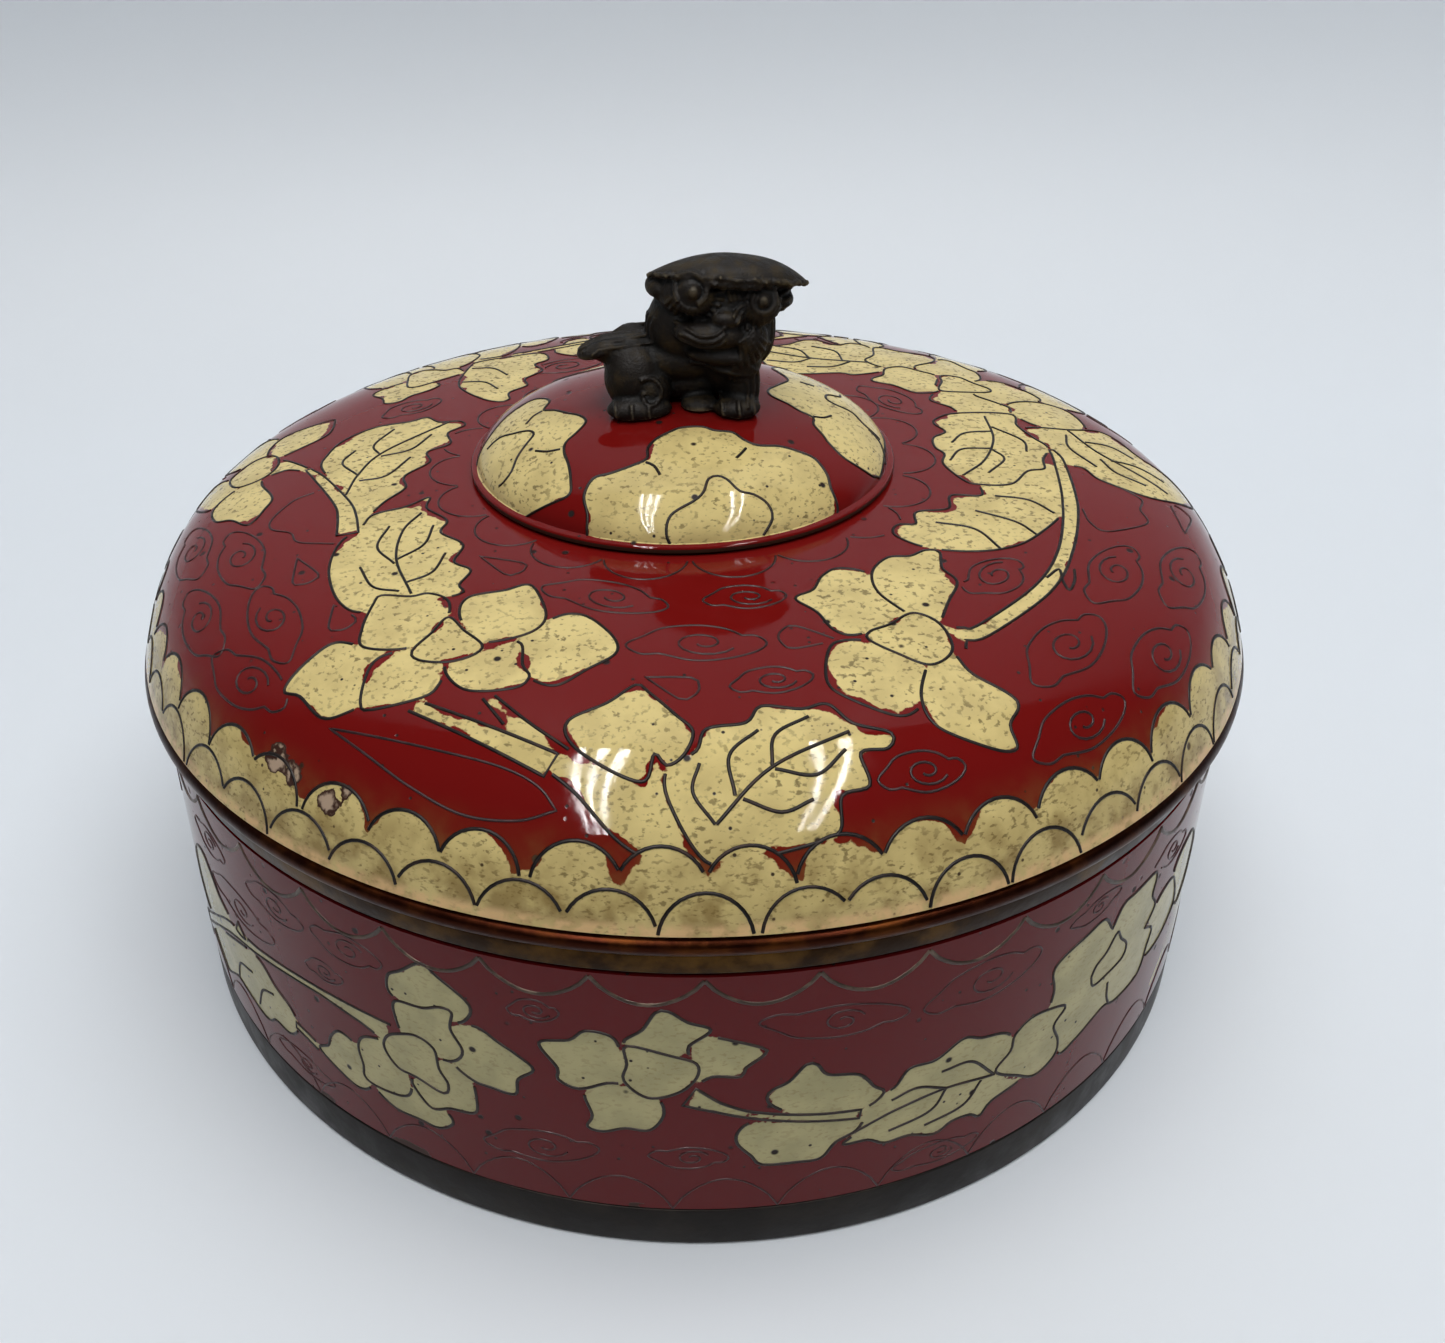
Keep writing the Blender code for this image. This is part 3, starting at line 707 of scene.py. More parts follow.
BACK_LEFT = [
    [(-24.6, 34.6), (-21, 35.8), (-16.2, 36.5), (-15.1, 33.6), (-16.8, 31.6), (-15.8, 29),
     (-17.9, 26.2), (-17.6, 23.8), (-19.7, 21.6), (-19.6, 19.4), (-20.8, 18.6), (-23, 20),
     (-25.6, 23.6), (-26.3, 27), (-25.4, 32.6)],
    [(-33.2, 29.5), (-33.2, 33), (-31.4, 34.2), (-28.6, 32.5), (-27, 32.7), (-26.1, 30.4),
     (-28.8, 28.1), (-31.5, 26.3), (-32.8, 26.7)],
    [(-37.1, 25.2), (-36.2, 27.2), (-33.4, 28.8), (-32.2, 26.3), (-29.9, 27.4), (-28.7, 26.2),
     (-29.7, 24.5), (-32, 22.8), (-33.2, 21.1), (-35, 20.9), (-35.6, 23)],
    [(-39.4, 32), (-38, 29), (-35.2, 28), (-33.1, 31.6), (-33.6, 34.6), (-35.2, 37), (-38, 36.5),
     (-39.6, 34)],
    [(-32.4, 39), (-30.6, 36), (-30, 33.6), (-28.6, 32.5), (-26, 34), (-24.5, 38.2), (-25.4, 41),
     (-27.5, 43), (-31, 41.5)],
    [(-34.6, 35), (-33, 33.4), (-30.6, 33.8), (-31, 37), (-34, 39.5), (-35.5, 38)],
    [(-25, 38), (-24.2, 36.2), (-21, 37), (-19.5, 40.4), (-19.3, 44), (-20.5, 46.5), (-24, 45),
     (-25.4, 41.5)],
    [(-19.6, 45.8), (-19.4, 42.4), (-17.6, 40.8), (-15.4, 42.4), (-14.1, 46.2), (-15, 48.5),
     (-18, 48.5)],
]
BACK_STEM = ribbon(
    [(-25.2, 35.2), (-17.6, 37.4), (-9.5, 41), (-5, 43.5)], [1.4, 1.1, 1, 0.9])
BACK_LEFT_VEINS = [
    [(-25, 31.9), (-22.2, 31.2), (-20.2, 28.1)], [(-25.9, 26.5), (-23, 25.9), (-21.2, 23.2)],
]

# %% The spray at the front
FRONT_SPRAY = [
    [(-12, -49.2), (-12.3, -46.8), (-9, -45.1), (-6.6, -43.2), (-5.6, -44.2), (-3.6, -46.9),
     (-2.3, -48.8), (-3.2, -51), (-4.6, -51.8), (-5.5, -50.7), (-6.4, -53), (-9, -51.9)],
    [(-4.7, -54.6), (-4.4, -51.8), (-2.2, -50.7), (-1.2, -48.6), (2, -48.1), (3.4, -46.4),
     (6.6, -46.8), (8.8, -46.3), (10.6, -48.3), (13.6, -49.2), (13.2, -50.6), (10.9, -51.1),
     (11.4, -53.8), (9.1, -54.7), (8.9, -57.4), (6.8, -58.4), (2, -59.5), (-2, -59.6)],
    [(-15, -50.2), (-14.4, -48.9), (-9, -51.8), (-6.5, -53.4), (-6.1, -51.1), (-5, -51.6),
     (-5, -54), (-3.4, -60), (-6.4, -59.2), (-9, -57.4), (-12, -53.4)],
]
FRONT_STEMS = [
    ribbon([(-25.4, -43), (-19.4, -47), (-13.8, -50.8)], [1.2, 1.7, 2.2]),
    ribbon([(-19, -43.1), (-16.2, -47), (-13.2, -50.4)], [0.9, 1.7, 2.4]),
]
FRONT_VEINS = [
    [(-1, -56.8), (3.6, -52.4), (10.2, -49.1)], [(-2, -51.8), (-2.7, -54.2), (-1.1, -56.8)],
    [(2.9, -48.9), (0.4, -51.2), (0.6, -54.6)], [(7.1, -47.6), (4.2, -49.4), (3.7, -52.2)],
    [(1.2, -54.9), (4.2, -56), (6.8, -55)], [(3.9, -52.5), (7.2, -53), (9.7, -50.8)],
]

# %% Outlines that stay red
RED_LEAF = [
    (-33, -43.3), (-33, -43.3), (-24, -47.5), (-18, -50.3), (-15, -52.4), (-13.6, -54.6),
    (-13.6, -54.6), (-17, -54.9), (-21.6, -53.6), (-26, -50.3), (-30, -46.3)]
RED_LINES = [
    [(-39.6, -4.2), (-41.6, -5.6), (-43.3, -9.4), (-42.8, -11.6), (-40.6, -13), (-39.4, -15.2),
     (-35.6, -16.4)],
    [(39.4, -15), (39.3, -17.8), (40.6, -19.3), (45.6, -16.6), (45.9, -13.8), (46.9, -11.4),
     (45.2, -9.2)],
]


# %% [markdown]
# ## Clouds, drops, rings and scallops
# What repeats is drawn by a formula. A cloud is a rounded body with a lobe at each end and a coil in
# it, and a row of numbers gives its place, size and tilt. Nineteen half rings hang from the boss,
# and two rows of scallops, 51 in each, run round the rim like the petals of a flower. No two of
# them are quite alike on a hand-made box, so each is moved and sized a little by seeded chance.

# %% Clouds and drops
# A rounded body with a small lobe at each end; the notches are corners
CLOUD_EDGE = [
    (-0.76, 0.3), (-0.76, 0.3), (-0.5, 0.78), (0, 1), (0.4, 0.86), (0.66, 0.5), (0.66, 0.5),
    (0.86, 0.52), (1.02, 0.16), (0.9, -0.32), (0.5, -0.8), (0, -1), (-0.52, -0.7), (-0.52, -0.7),
    (-0.8, -0.74), (-1.02, -0.26)]


def cloud(x, y, length, width, tilt_deg, side):
    """The outline of a cloud and the coil inside it."""
    edge = [(a * length / 2, b * width / 2 * side) for a, b in CLOUD_EDGE]
    outline = turned_flat(bend(edge, closed=True), tilt_deg, (x, y))
    share = np.linspace(0, 1, 22)
    radius = width * (0.36 - 0.28 * share)
    angle = side * np.radians(480 * share + 20)
    coil = np.stack([0.05 * length + 1.5 * radius * np.cos(angle), -radius * np.sin(angle)], 1)
    return outline, turned_flat(coil, tilt_deg, (x, y))


def lay_cloud(pattern, *row):
    """Lays the wires of one cloud, under the shapes laid before it."""
    outline, coil = cloud(*row)
    pattern.under(outline, closed=True)
    pattern.under(coil)


def drop(tip, end, radius):
    """The outline of a drop from its sharp tip to the middle of its round end."""
    tip, end = np.array(tip, float), np.array(end, float)
    along = (end - tip) / np.linalg.norm(end - tip)
    side = np.array([-along[1], along[0]])
    turns = np.radians([-80, -35, 0, 35, 80])
    round_end = [end + radius * (along * math.cos(a) + side * math.sin(a)) for a in turns]
    return bend([tip, tip, *round_end], closed=True)


# Each cloud: middle x and y, length, width, tilt in degrees, and the side it bulges to
CLOUDS = [
    (-45.2, -16.5, 13, 5, 108, 1), (-39.6, -28.6, 12.8, 4.8, 115, -1), (-48.4, -24.6, 13, 4.8, 112, 1),
    (-42, -35, 12.6, 4.8, -43, -1), (-52.2, -11, 12.5, 5, 104, 1), (-8.9, -29.6, 12, 5, -27, 1),
    (3.7, -30.8, 7.4, 4, -4, 1), (-1.2, -37.8, 11.8, 5.2, -8, 1), (4.6, -43.3, 7, 3.3, 4, 1),
    (27, -28.4, 8, 4.8, 50, -1), (38.8, -27, 12, 5, 60, -1), (46.9, -24.8, 13, 5.2, 62, -1),
    (30.8, -38.4, 12.3, 5.2, 43, 1), (40.8, -37, 12.2, 5, 45, 1), (30.6, -46.4, 12, 4.4, 33, 1),
    (15.8, -52.4, 7.5, 3.4, 8, 1), (25.8, 14.4, 10.5, 4.6, -65, 1), (-31.5, 18.5, 8, 4.2, 30, 1)]
DROPS = [
    ((-39, -18.4), (-37.6, -22.2), 1.3), ((-34, -27.8), (-32.9, -30.6), 1.3),
    ((-20.8, -21), (-17.6, -23.6), 1.3), ((50.2, -16.2), (51.8, -11.4), 1.3),
    ((-5.8, -42.3), (-2.8, -43.8), 1.4), ((11, -38.2), (7.6, -37.6), 1.7)]

# Behind the lion the clouds go on: their distance from the middle, and the way they lie
BACK_CLOUDS = [
    (reach * math.cos(math.radians(way)), reach * math.sin(math.radians(way)), 12, 4.8, way + 90, 1)
    for reach, first, last, count in ((54, 16, 164, 11), (44, 60, 100, 3), (33, 70, 112, 2))
    for way in np.linspace(first, last, count)]

# %% Scallops and half rings
SCALLOPS = 51
SCALLOP_START_DEG = -95.6
HALF_RINGS = 19
HALF_RING_START_DEG = -91.8
# How far the rows' centres are from the middle of the lid, and past what distance all is cream
UPPER_ROW_MM, LOWER_ROW_MM, HALF_RING_ROW_MM = 62.4, 66.3, 23.5
ALL_CREAM_MM = 60.9
# The lower row's wires stop this far short of the lid's edge
BARE_EDGE_MM = 1.0
chance = np.random.default_rng(7)


def lobes(count, start_deg, centre_mm, radius_mm, sway_deg=0.0, sway_mm=0.0):
    """Centres and radii of round lobes set in a ring."""
    angle = start_deg + (np.arange(count) + 0.5) * 360 / count + chance.normal(0, sway_deg, count)
    radius = radius_mm + chance.normal(0, sway_mm, count)
    return around((0, 0), centre_mm, np.radians(angle)), radius


def lobe_arcs(centres, radii, outward):
    """The arc of each lobe that lies between its two neighbours."""
    arcs = []
    for i, (centre, radius) in enumerate(zip(centres, radii)):
        facing = math.atan2(centre[1], centre[0]) + (0 if outward else math.pi)
        turns = facing + np.radians(np.linspace(-88, 88, 19))
        ring = around(centre, radius, turns)
        for j in (i - 1, (i + 1) % len(centres)):
            middle, apart = (centre + centres[j]) / 2, centres[j] - centre
            ring = ring[(ring - middle) @ apart < 0]
        arcs.append(ring)
    return arcs


half_pitch_deg = 180 / SCALLOPS
upper_centres, upper_radii = lobes(
    SCALLOPS, SCALLOP_START_DEG + half_pitch_deg, UPPER_ROW_MM, 4.05, 0.35, 0.12)
lower_centres, lower_radii = lobes(SCALLOPS, SCALLOP_START_DEG, LOWER_ROW_MM, 4.2, 0.35, 0.1)
ring_centres, ring_radii = lobes(HALF_RINGS, HALF_RING_START_DEG, HALF_RING_ROW_MM, 3.95, 0.4, 0.08)
print(len(upper_radii) + len(lower_radii), "scallops and", len(ring_radii), "half rings")

# %% Lay the whole pattern on the lid
def lay_shapes(pattern, *groups, turn_deg=0, place=(0, 0)):
    """Lays petals and leaves, given as points to bend or as a ribbon's outline."""
    for group in groups:
        for points in group:
            pattern.shape(turned_flat(outline_of(points), turn_deg, place))


lid_pattern = Pattern()
cloud_pattern = Pattern()
lay_shapes(lid_pattern, LEFT_BLOSSOM, RIGHT_BLOSSOM, [LEFT_STEM, RIGHT_STEM], FRONT_STEMS)
lay_shapes(lid_pattern, LEFT_LEAVES, SIDE_BLOSSOM, RIGHT_LEAVES, RIGHT_CLUSTER, FRONT_SPRAY)
lay_shapes(lid_pattern, BACK_LEFT, [BACK_STEM], BACK_RIGHT_LEAF)
for vein in (*LEFT_VEINS, *RIGHT_VEINS, THORN, *BACK_RIGHT_VEINS, *BACK_LEFT_VEINS, *FRONT_VEINS):
    lid_pattern.line(vein)

# The photograph does not show the back of the lid, so copies of the front's sprays go round to it
BACK_COPIES = ((LEFT_BLOSSOM, 213), (SIDE_BLOSSOM, 252), (FRONT_SPRAY, 188))
for group, turn_deg in BACK_COPIES:
    lay_shapes(lid_pattern, group, turn_deg=turn_deg)

cloud_pattern.shapes = list(lid_pattern.shapes)
cloud_pattern.under(outline_of(RED_LEAF), closed=True)
for points in RED_LINES:
    cloud_pattern.line(points)
for row in CLOUDS + BACK_CLOUDS:
    lay_cloud(cloud_pattern, *row)
for row in DROPS:
    cloud_pattern.under(drop(*row), closed=True)
for ring in lobe_arcs(ring_centres, ring_radii, outward=True):
    cloud_pattern.under(ring)

lower_arcs = lobe_arcs(lower_centres, lower_radii, outward=False)
scallop_arcs = [(ring[np.hypot(*ring.T) < LID_EDGE_MM - BARE_EDGE_MM], False) for ring in lower_arcs]
for ring in lobe_arcs(upper_centres, upper_radii, outward=False):
    below = np.min([np.linalg.norm(ring - c, axis=1) - r for c, r in zip(lower_centres, lower_radii)], 0)
    scallop_arcs.append((ring[below > 0.1], False))


def scallop_depth(flat):
    """How deep a flat point lies in the cream border, in millimetres."""
    deepest = np.hypot(*flat.T) - ALL_CREAM_MM
    for centre, radius in zip(upper_centres, upper_radii):
        deepest = np.maximum(deepest, radius - np.linalg.norm(flat - centre, axis=1))
    return np.maximum(deepest, OUTSIDE_MM)


# The border lies over the foot of the sprays
over_border = list(lid_pattern.wires)
lid_pattern.wires = []
for line, closed in over_border:
    lid_pattern.wires += stretches(line, closed, scallop_depth(line) < 0.1)
print(len(lid_pattern.shapes), "cream shapes and", len(lid_pattern.wires + cloud_pattern.wires), "wires")

# %% [markdown]
# ## Turning the shells
# A shell is a ring of points in the upright plane, bent to the profile, and spun about the upright
# axis. The ring starts as a primitive circle, whose vertices are then set along the profile. A
# lathe-like Screw modifier would do as well, but the spin leaves an ordinary mesh at once. The
# outside has a point about every half millimetre, because it also carries the pattern.

# %% Spin a closed profile
SHELL_STEPS = 800
BOSS_STEPS = 420


def turned(name, outline, steps, crease_deg=40):
    """A closed (radius, height) outline spun about Z."""
    ring = start(bpy.ops.mesh.primitive_circle_add, name, vertices=len(outline), radius=LID_RADIUS)
    for vertex, (radius, height) in zip(ring.data.vertices, outline):
        vertex.co = (radius, 0, height)
    bpy.ops.object.mode_set(mode="EDIT")
    bpy.ops.mesh.select_all(action="SELECT")
    bpy.ops.mesh.spin(steps=steps, angle=math.tau, center=(0, 0, 0), axis=(0, 0, 1))
    bpy.ops.mesh.select_all(action="SELECT")
    bpy.ops.mesh.remove_doubles(threshold=0.004 * MM)
    bpy.ops.mesh.delete_loose(use_verts=True, use_edges=True, use_faces=False)
    bpy.ops.mesh.select_all(action="SELECT")
    bpy.ops.mesh.normals_make_consistent(inside=False)
    bpy.ops.object.mode_set(mode="OBJECT")
    bpy.ops.object.shade_smooth_by_angle(angle=math.radians(crease_deg))
    return ring


def arc(centre, radii, first_deg, last_deg, count):
    """Points along an elliptical arc of a profile."""
    angle = np.radians(np.linspace(first_deg, last_deg, count))
    return np.stack([centre[0] + radii[0] * np.cos(angle), centre[1] + radii[1] * np.sin(angle)], 1)


def corners_of(piece):
    """The vertices of a piece as rows of x, y and z."""
    places = np.empty(3 * len(piece.data.vertices), np.float32)
    piece.data.vertices.foreach_get("co", places)
    return places.reshape(-1, 3).astype(float)


def paint(piece, name, values):
    """Stores a number at each vertex, for the shader to read."""
    attribute = piece.data.attributes.new(name, "FLOAT", "POINT")
    attribute.data.foreach_set("value", np.asarray(values, np.float32))


def paint_cream(piece, roll, depth_at):
    """Stores the depth in the cream at each vertex of the outside."""
    places = corners_of(piece)
    flat = roll.unroll(places)
    outside = np.linalg.norm(roll.lay(flat) - places, axis=1) < 0.3 * MM
    depth = np.full(len(places), OUTSIDE_MM)
    depth[outside] = depth_at(flat[outside])
    paint(piece, "cream", depth)
    return flat, outside


def paint_chips(piece, flat, outside, chips, flatness=1.0):
    """Stores the depth in a chip at each vertex. Each chip: its place and its half width."""
    depth = np.full(len(flat), OUTSIDE_MM)
    for x, y, half in chips:
        depth = np.maximum(depth, half - np.hypot(flat[:, 0] - x, flatness * (flat[:, 1] - y)))
    paint(piece, "chip", np.where(outside, depth, OUTSIDE_MM))


# %% The enamelled lid
def even_profile(roll, first, last, step_mm):
    """Profile points at even distances between two distances from the middle."""
    count = round((last - first) / (step_mm * MM))
    return np.stack(roll.at(np.linspace(first, last, count + 1)), 1)


def inset_profile(profile, thickness):
    """The profile moved inwards by the wall's thickness."""
    along = np.gradient(profile, axis=0)
    along /= np.linalg.norm(along, axis=1, keepdims=True)
    return profile + np.stack([along[:, 1], -along[:, 0]], 1) * thickness


shell_end = np.interp(-lid_low.z, -lid_roll.profile[:, 1], lid_roll.run)
outer = even_profile(lid_roll, hole_radius, shell_end, 0.47)
inner = inset_profile(even_profile(lid_roll, hole_radius, shell_end, 5.0), WALL_THICK)
inner[0, 0], inner[-1, 1] = hole_radius, lid_low.z
lid_shell = turned("lid_enamel", np.vstack([outer, inner[::-1]]), SHELL_STEPS)

flat, outside = paint_cream(
    lid_shell, lid_roll,
    lambda flat: np.maximum(lid_pattern.cream_at(flat), scallop_depth(flat)))

# Places on the left front where the glass has chipped off the copper
LID_CHIPS = [
    (-39, -43.9, 1.5), (-37.5, -45.9, 1.2), (-34.2, -49.5, 1.3), (-32.2, -49.3, 0.9), (-13, -36.4, 0.2)]
paint_chips(lid_shell, flat, outside, LID_CHIPS)
dress(lid_shell, lid_glass, "lid")

# %% [markdown]
# ## Laying the wires
# The wires of a pattern are one curve object with a line of points for each wire, laid on the
# rolled surface and given a round section. More than half of each wire is sunk in the glass, so
# that only a fine ridge stands out, as it does after polishing. The curve is then made a mesh.

# %% Wires from curves
WIRE_RADIUS, WIRE_SINK = 0.18 * MM, 0.06 * MM
THIN_WIRE_RADIUS, THIN_WIRE_SINK = 0.13 * MM, 0.03 * MM


def lay_wires(name, wires, lay, radius, lift):
    """Makes a mesh of round wires from flat lines laid on a surface."""
    curve = bpy.data.curves.new(name, "CURVE")
    curve.dimensions = "3D"
    curve.bevel_depth = radius
    curve.bevel_resolution = 1
    curve.use_fill_caps = True
    for line, closed in wires:
        if len(line) < 3:
            continue
        places = lay(line, lift)
        spline = curve.splines.new("POLY")
        spline.points.add(len(places) - 1)
        spline.points.foreach_set("co", np.c_[places, np.ones(len(places))].ravel())
        spline.use_cyclic_u = closed
    piece = bpy.data.objects.new(name, curve)
    bpy.context.scene.collection.objects.link(piece)
    bpy.ops.object.select_all(action="DESELECT")
    piece.select_set(True)
    bpy.context.view_layer.objects.active = piece
    bpy.ops.object.convert(target="MESH")
    bpy.ops.object.shade_smooth()
    return bpy.context.active_object


def solder(name, wires, roll, radius, sink, material):
    """Lays wires on a surface, sunk a little in its glass, and dresses them."""
    dress(lay_wires(name, wires, roll.lay, radius, -sink), material)


solder("lid_flower_wires", lid_pattern.wires, lid_roll, WIRE_RADIUS, WIRE_SINK, wire_copper)
solder("lid_scallop_wires", scallop_arcs, lid_roll, WIRE_RADIUS, WIRE_SINK, wire_copper)
solder("lid_cloud_wires", cloud_pattern.wires, lid_roll, THIN_WIRE_RADIUS, THIN_WIRE_SINK, cloud_copper)

# %% [markdown]
# ## The boss under the lion
# A small dome of its own stands on the middle of the lid, with four blossoms on red. Its pattern is
# drawn on the dome rolled flat, with distances measured down from its top.

# %% Blossoms of the boss
BOSS_FRONT = {
    "petals": [
        (-11.4, -23.6), (-11.3, -21.4), (-10.8, -19.6), (-10.9, -17.4), (-9.8, -15.5), (-8, -15.3),
        (-6, -14.8), (-4.3, -14), (-4.1, -12.4), (-3.2, -11), (-1.6, -9.8), (-0.4, -9.2), (1.6, -9.2),
        (2.8, -9.9), (4.6, -10.2), (5.6, -11.4), (7, -12.2), (9.2, -12), (11.2, -12.4), (12.8, -13),
        (14, -14.8), (14.4, -16.4), (15.6, -18.4), (15.2, -19.6), (13.4, -21), (12, -23.2), (0, -27)],
    "lines": [
        [(-2.5, -24.8), (-3, -23.2), (-2.4, -21.4), (0, -20), (1, -19), (1.6, -17.4), (2.5, -17),
         (3.4, -17.4), (4.6, -18.8), (6, -19.1), (7.4, -20), (7.9, -21.4), (7.1, -23.2)],
        [(-4.4, -14.5), (-3.6, -15.2), (-3.1, -16.5)],
        [(5.7, -12.8), (5.2, -13.6), (4.6, -14.4)]],
}
BOSS_LEFT = {
    "petals": [
        (-21.5, 0.4), (-19, 3.6), (-16.4, 4.8), (-14.8, 3.6), (-14.2, 2), (-14.8, 0), (-13.6, -1),
        (-12.2, -2.6), (-10.8, -4), (-10.2, -5.6), (-11.2, -7.4), (-12.4, -8.8), (-12.6, -10.4),
        (-12.2, -12.6), (-12.1, -14.8), (-12.4, -16.6), (-14.4, -16.8), (-18, -16.4), (-20.4, -15.4),
        (-26, -6)],
    "lines": [
        [(-15, -0.2), (-16, -0.8), (-16.8, -2.1)],
        [(-13, -9.7), (-14.4, -9.4), (-15.7, -8.5)],
        [(-21.8, -2.6), (-20, -2.2), (-18.4, -3), (-16.4, -4), (-15.9, -5.2), (-16.6, -6.4),
         (-17.8, -8.2), (-18.6, -10), (-19.8, -10.7), (-20.5, -10.6)],
        [(-20.7, -12.8), (-20.5, -14.6)]],
}
BOSS_RIGHT = {
    "petals": [
        (22, -8.6), (20.8, -11.2), (19.2, -11.9), (16.4, -11.6), (14.8, -10), (14.2, -8.6), (13.4, -6.8),
        (13.6, -5.4), (12.2, -4.4), (11.2, -3.2), (9.6, -1.6), (9.4, 0), (10.4, 1.6), (12, 4),
        (12.2, 5.6), (11.6, 7.6), (11.2, 10), (13, 13), (17, 15), (24, 8)],
    "lines": [
        [(13.6, -5.1), (14.8, -4.8), (15.8, -3.8)],
        [(13.6, 4.8), (15.2, 4.4)],
        [(18.4, 4.6), (18, 3.4), (16.4, 2.4), (16, 0.8), (16.8, -0.2), (18.8, -0.8), (20, -2.8), (22, -3.8)],
        [(22.6, -7.6), (22, -4.8), (20.4, -3.4)]],
}

# %% Lay the blossoms on the boss
boss_pattern = Pattern()
BACK_TURN_DEG = 182
BOSS_BLOSSOMS = ((BOSS_FRONT, 0), (BOSS_LEFT, 0), (BOSS_RIGHT, 0), (BOSS_FRONT, BACK_TURN_DEG))


def within_boss(line):
    """For each point of a line, whether it stays on the dome."""
    return np.hypot(*line.T) < BOSS_EDGE_MM - 0.1


def on_boss(line):
    """The part of a line that stays on the dome."""
    return line[within_boss(line)]


for blossom, turn_deg in BOSS_BLOSSOMS:
    outline = turned_flat(bend(blossom["petals"], closed=True), turn_deg)
    first = int(np.argmin(within_boss(outline)))
    boss_pattern.wires.append((on_boss(np.roll(outline, -first, axis=0)), False))
    boss_pattern.shapes.append(outline)
    for points in blossom["lines"]:
        boss_pattern.wires.append((on_boss(turned_flat(bend(points), turn_deg)), False))

# %% The boss's shell, wires and bare copper edge
boss_outer = even_profile(boss_roll, 0, boss_roll.run[-1], 0.36)
edge_seat = boss_low.z + BOSS_LIP
boss_outer = boss_outer[boss_outer[:, 1] > edge_seat]
boss_inner = arc((0, boss_low.z), (boss_radius - BOSS_WALL, boss_rise - BOSS_WALL), 0, 90, 10)
boss_outer[0, 0] = boss_inner[-1, 0] = 0
lip_top = arc((boss_radius + 0.3 * MM, edge_seat - 0.3 * MM), (0.3 * MM, 0.3 * MM), 100, 0, 5)
boss_outline = np.vstack([boss_outer, lip_top, [(BOSS_EDGE, boss_low.z)], boss_inner])
boss_shell = turned("boss_enamel", boss_outline, BOSS_STEPS)
flat, outside = paint_cream(boss_shell, boss_roll, boss_pattern.cream_at)
places = corners_of(boss_shell)
lip = (np.hypot(*places[:, :2].T) > boss_radius) & (places[:, 2] < edge_seat - 0.25 * MM)
# The lip has no glass on it, so it is painted as one long chip
paint(boss_shell, "chip", np.where(lip, -OUTSIDE_MM, OUTSIDE_MM))
dress(boss_shell, boss_glass, "lid_boss")
solder("boss_wires", boss_pattern.wires, boss_roll, WIRE_RADIUS, WIRE_SINK, wire_copper)

# %% [markdown]
# ## The copper bands
# The foot, the mouth and the rim of the lid are bare copper. Each is a turned band, like the
# shells, but with its edges rounded by wear.

# %% Copper bands
BAND_STEPS = 320


def wall_radius(height):
    """The outer radius of the wall, which tapers from the foot to the mouth with a slight swell."""
    share = height / wall_high.z
    taper = FOOT_RADIUS - MOUTH_RADIUS
    return FOOT_RADIUS - taper * share + 0.1 * MM * np.sin(np.pi * share)


FOOT_WIDTH = 2.0 * MM
foot_inner = FOOT_RADIUS - FOOT_WIDTH
wear = 0.5 * MM
foot_outline = np.vstack([
    [(foot_inner, foot_low.z + 0.2 * MM)],
    arc((foot_inner + wear, foot_low.z + wear), (wear, wear), 200, 270, 4),
    arc((FOOT_RADIUS - wear, foot_low.z + wear), (wear, wear), -90, 0, 6),
    arc((wall_radius(foot_high.z) - 0.15 * MM, foot_high.z - 0.15 * MM), (0.15 * MM, 0.15 * MM), 0, 90, 4),
    [(foot_inner, foot_high.z)]])
foot_band = turned("foot_band", foot_outline, BAND_STEPS)
dress(foot_band, foot_copper, "foot_ring")

COLLAR_INSET, COLLAR_THICK, COLLAR_RISE = 3.4 * MM, 1.2 * MM, 4.0 * MM
collar_radius = MOUTH_RADIUS - COLLAR_INSET
shoulder = mouth_high.z - COLLAR_RISE
round_edge = 0.7 * MM
mouth_outline = np.vstack([
    [(collar_radius - COLLAR_THICK, mouth_low.z)],
    arc((MOUTH_RADIUS - 0.2 * MM, mouth_low.z + 0.2 * MM), (0.2 * MM, 0.2 * MM), -90, 0, 4),
    arc((MOUTH_RADIUS - round_edge, shoulder - round_edge), (round_edge, round_edge), 0, 90, 7),
    [(collar_radius, shoulder)],
    arc((collar_radius - COLLAR_THICK / 2, mouth_high.z - 0.6 * MM), (0.6 * MM, 0.6 * MM), 0, 180, 9)])
mouth_band = turned("mouth_band", mouth_outline, BAND_STEPS)
dress(mouth_band, mouth_copper, "mouth_rim")

rim_inner = collar_radius + 0.5 * MM
bulge = arc((LID_RADIUS - rim_half, spring_height), (rim_half, rim_half), -90, 60, 12)
rim_outline = np.vstack([[(rim_inner, rim_low.z)], bulge, [(rim_inner, bulge[-1, 1])]])
lid_band = turned("lid_rim_band", rim_outline, BAND_STEPS)
dress(lid_band, rim_copper, "lid_rim")

# %% [markdown]
# ## The pattern of the wall
# The wall is drawn flat too: across is the distance round the box from the front, in
# millimetres, and up is the height above the table. One spray of blossoms, leaves and a rose fills
# a third of the way round. The two thirds that the photograph does not show carry most of it again.

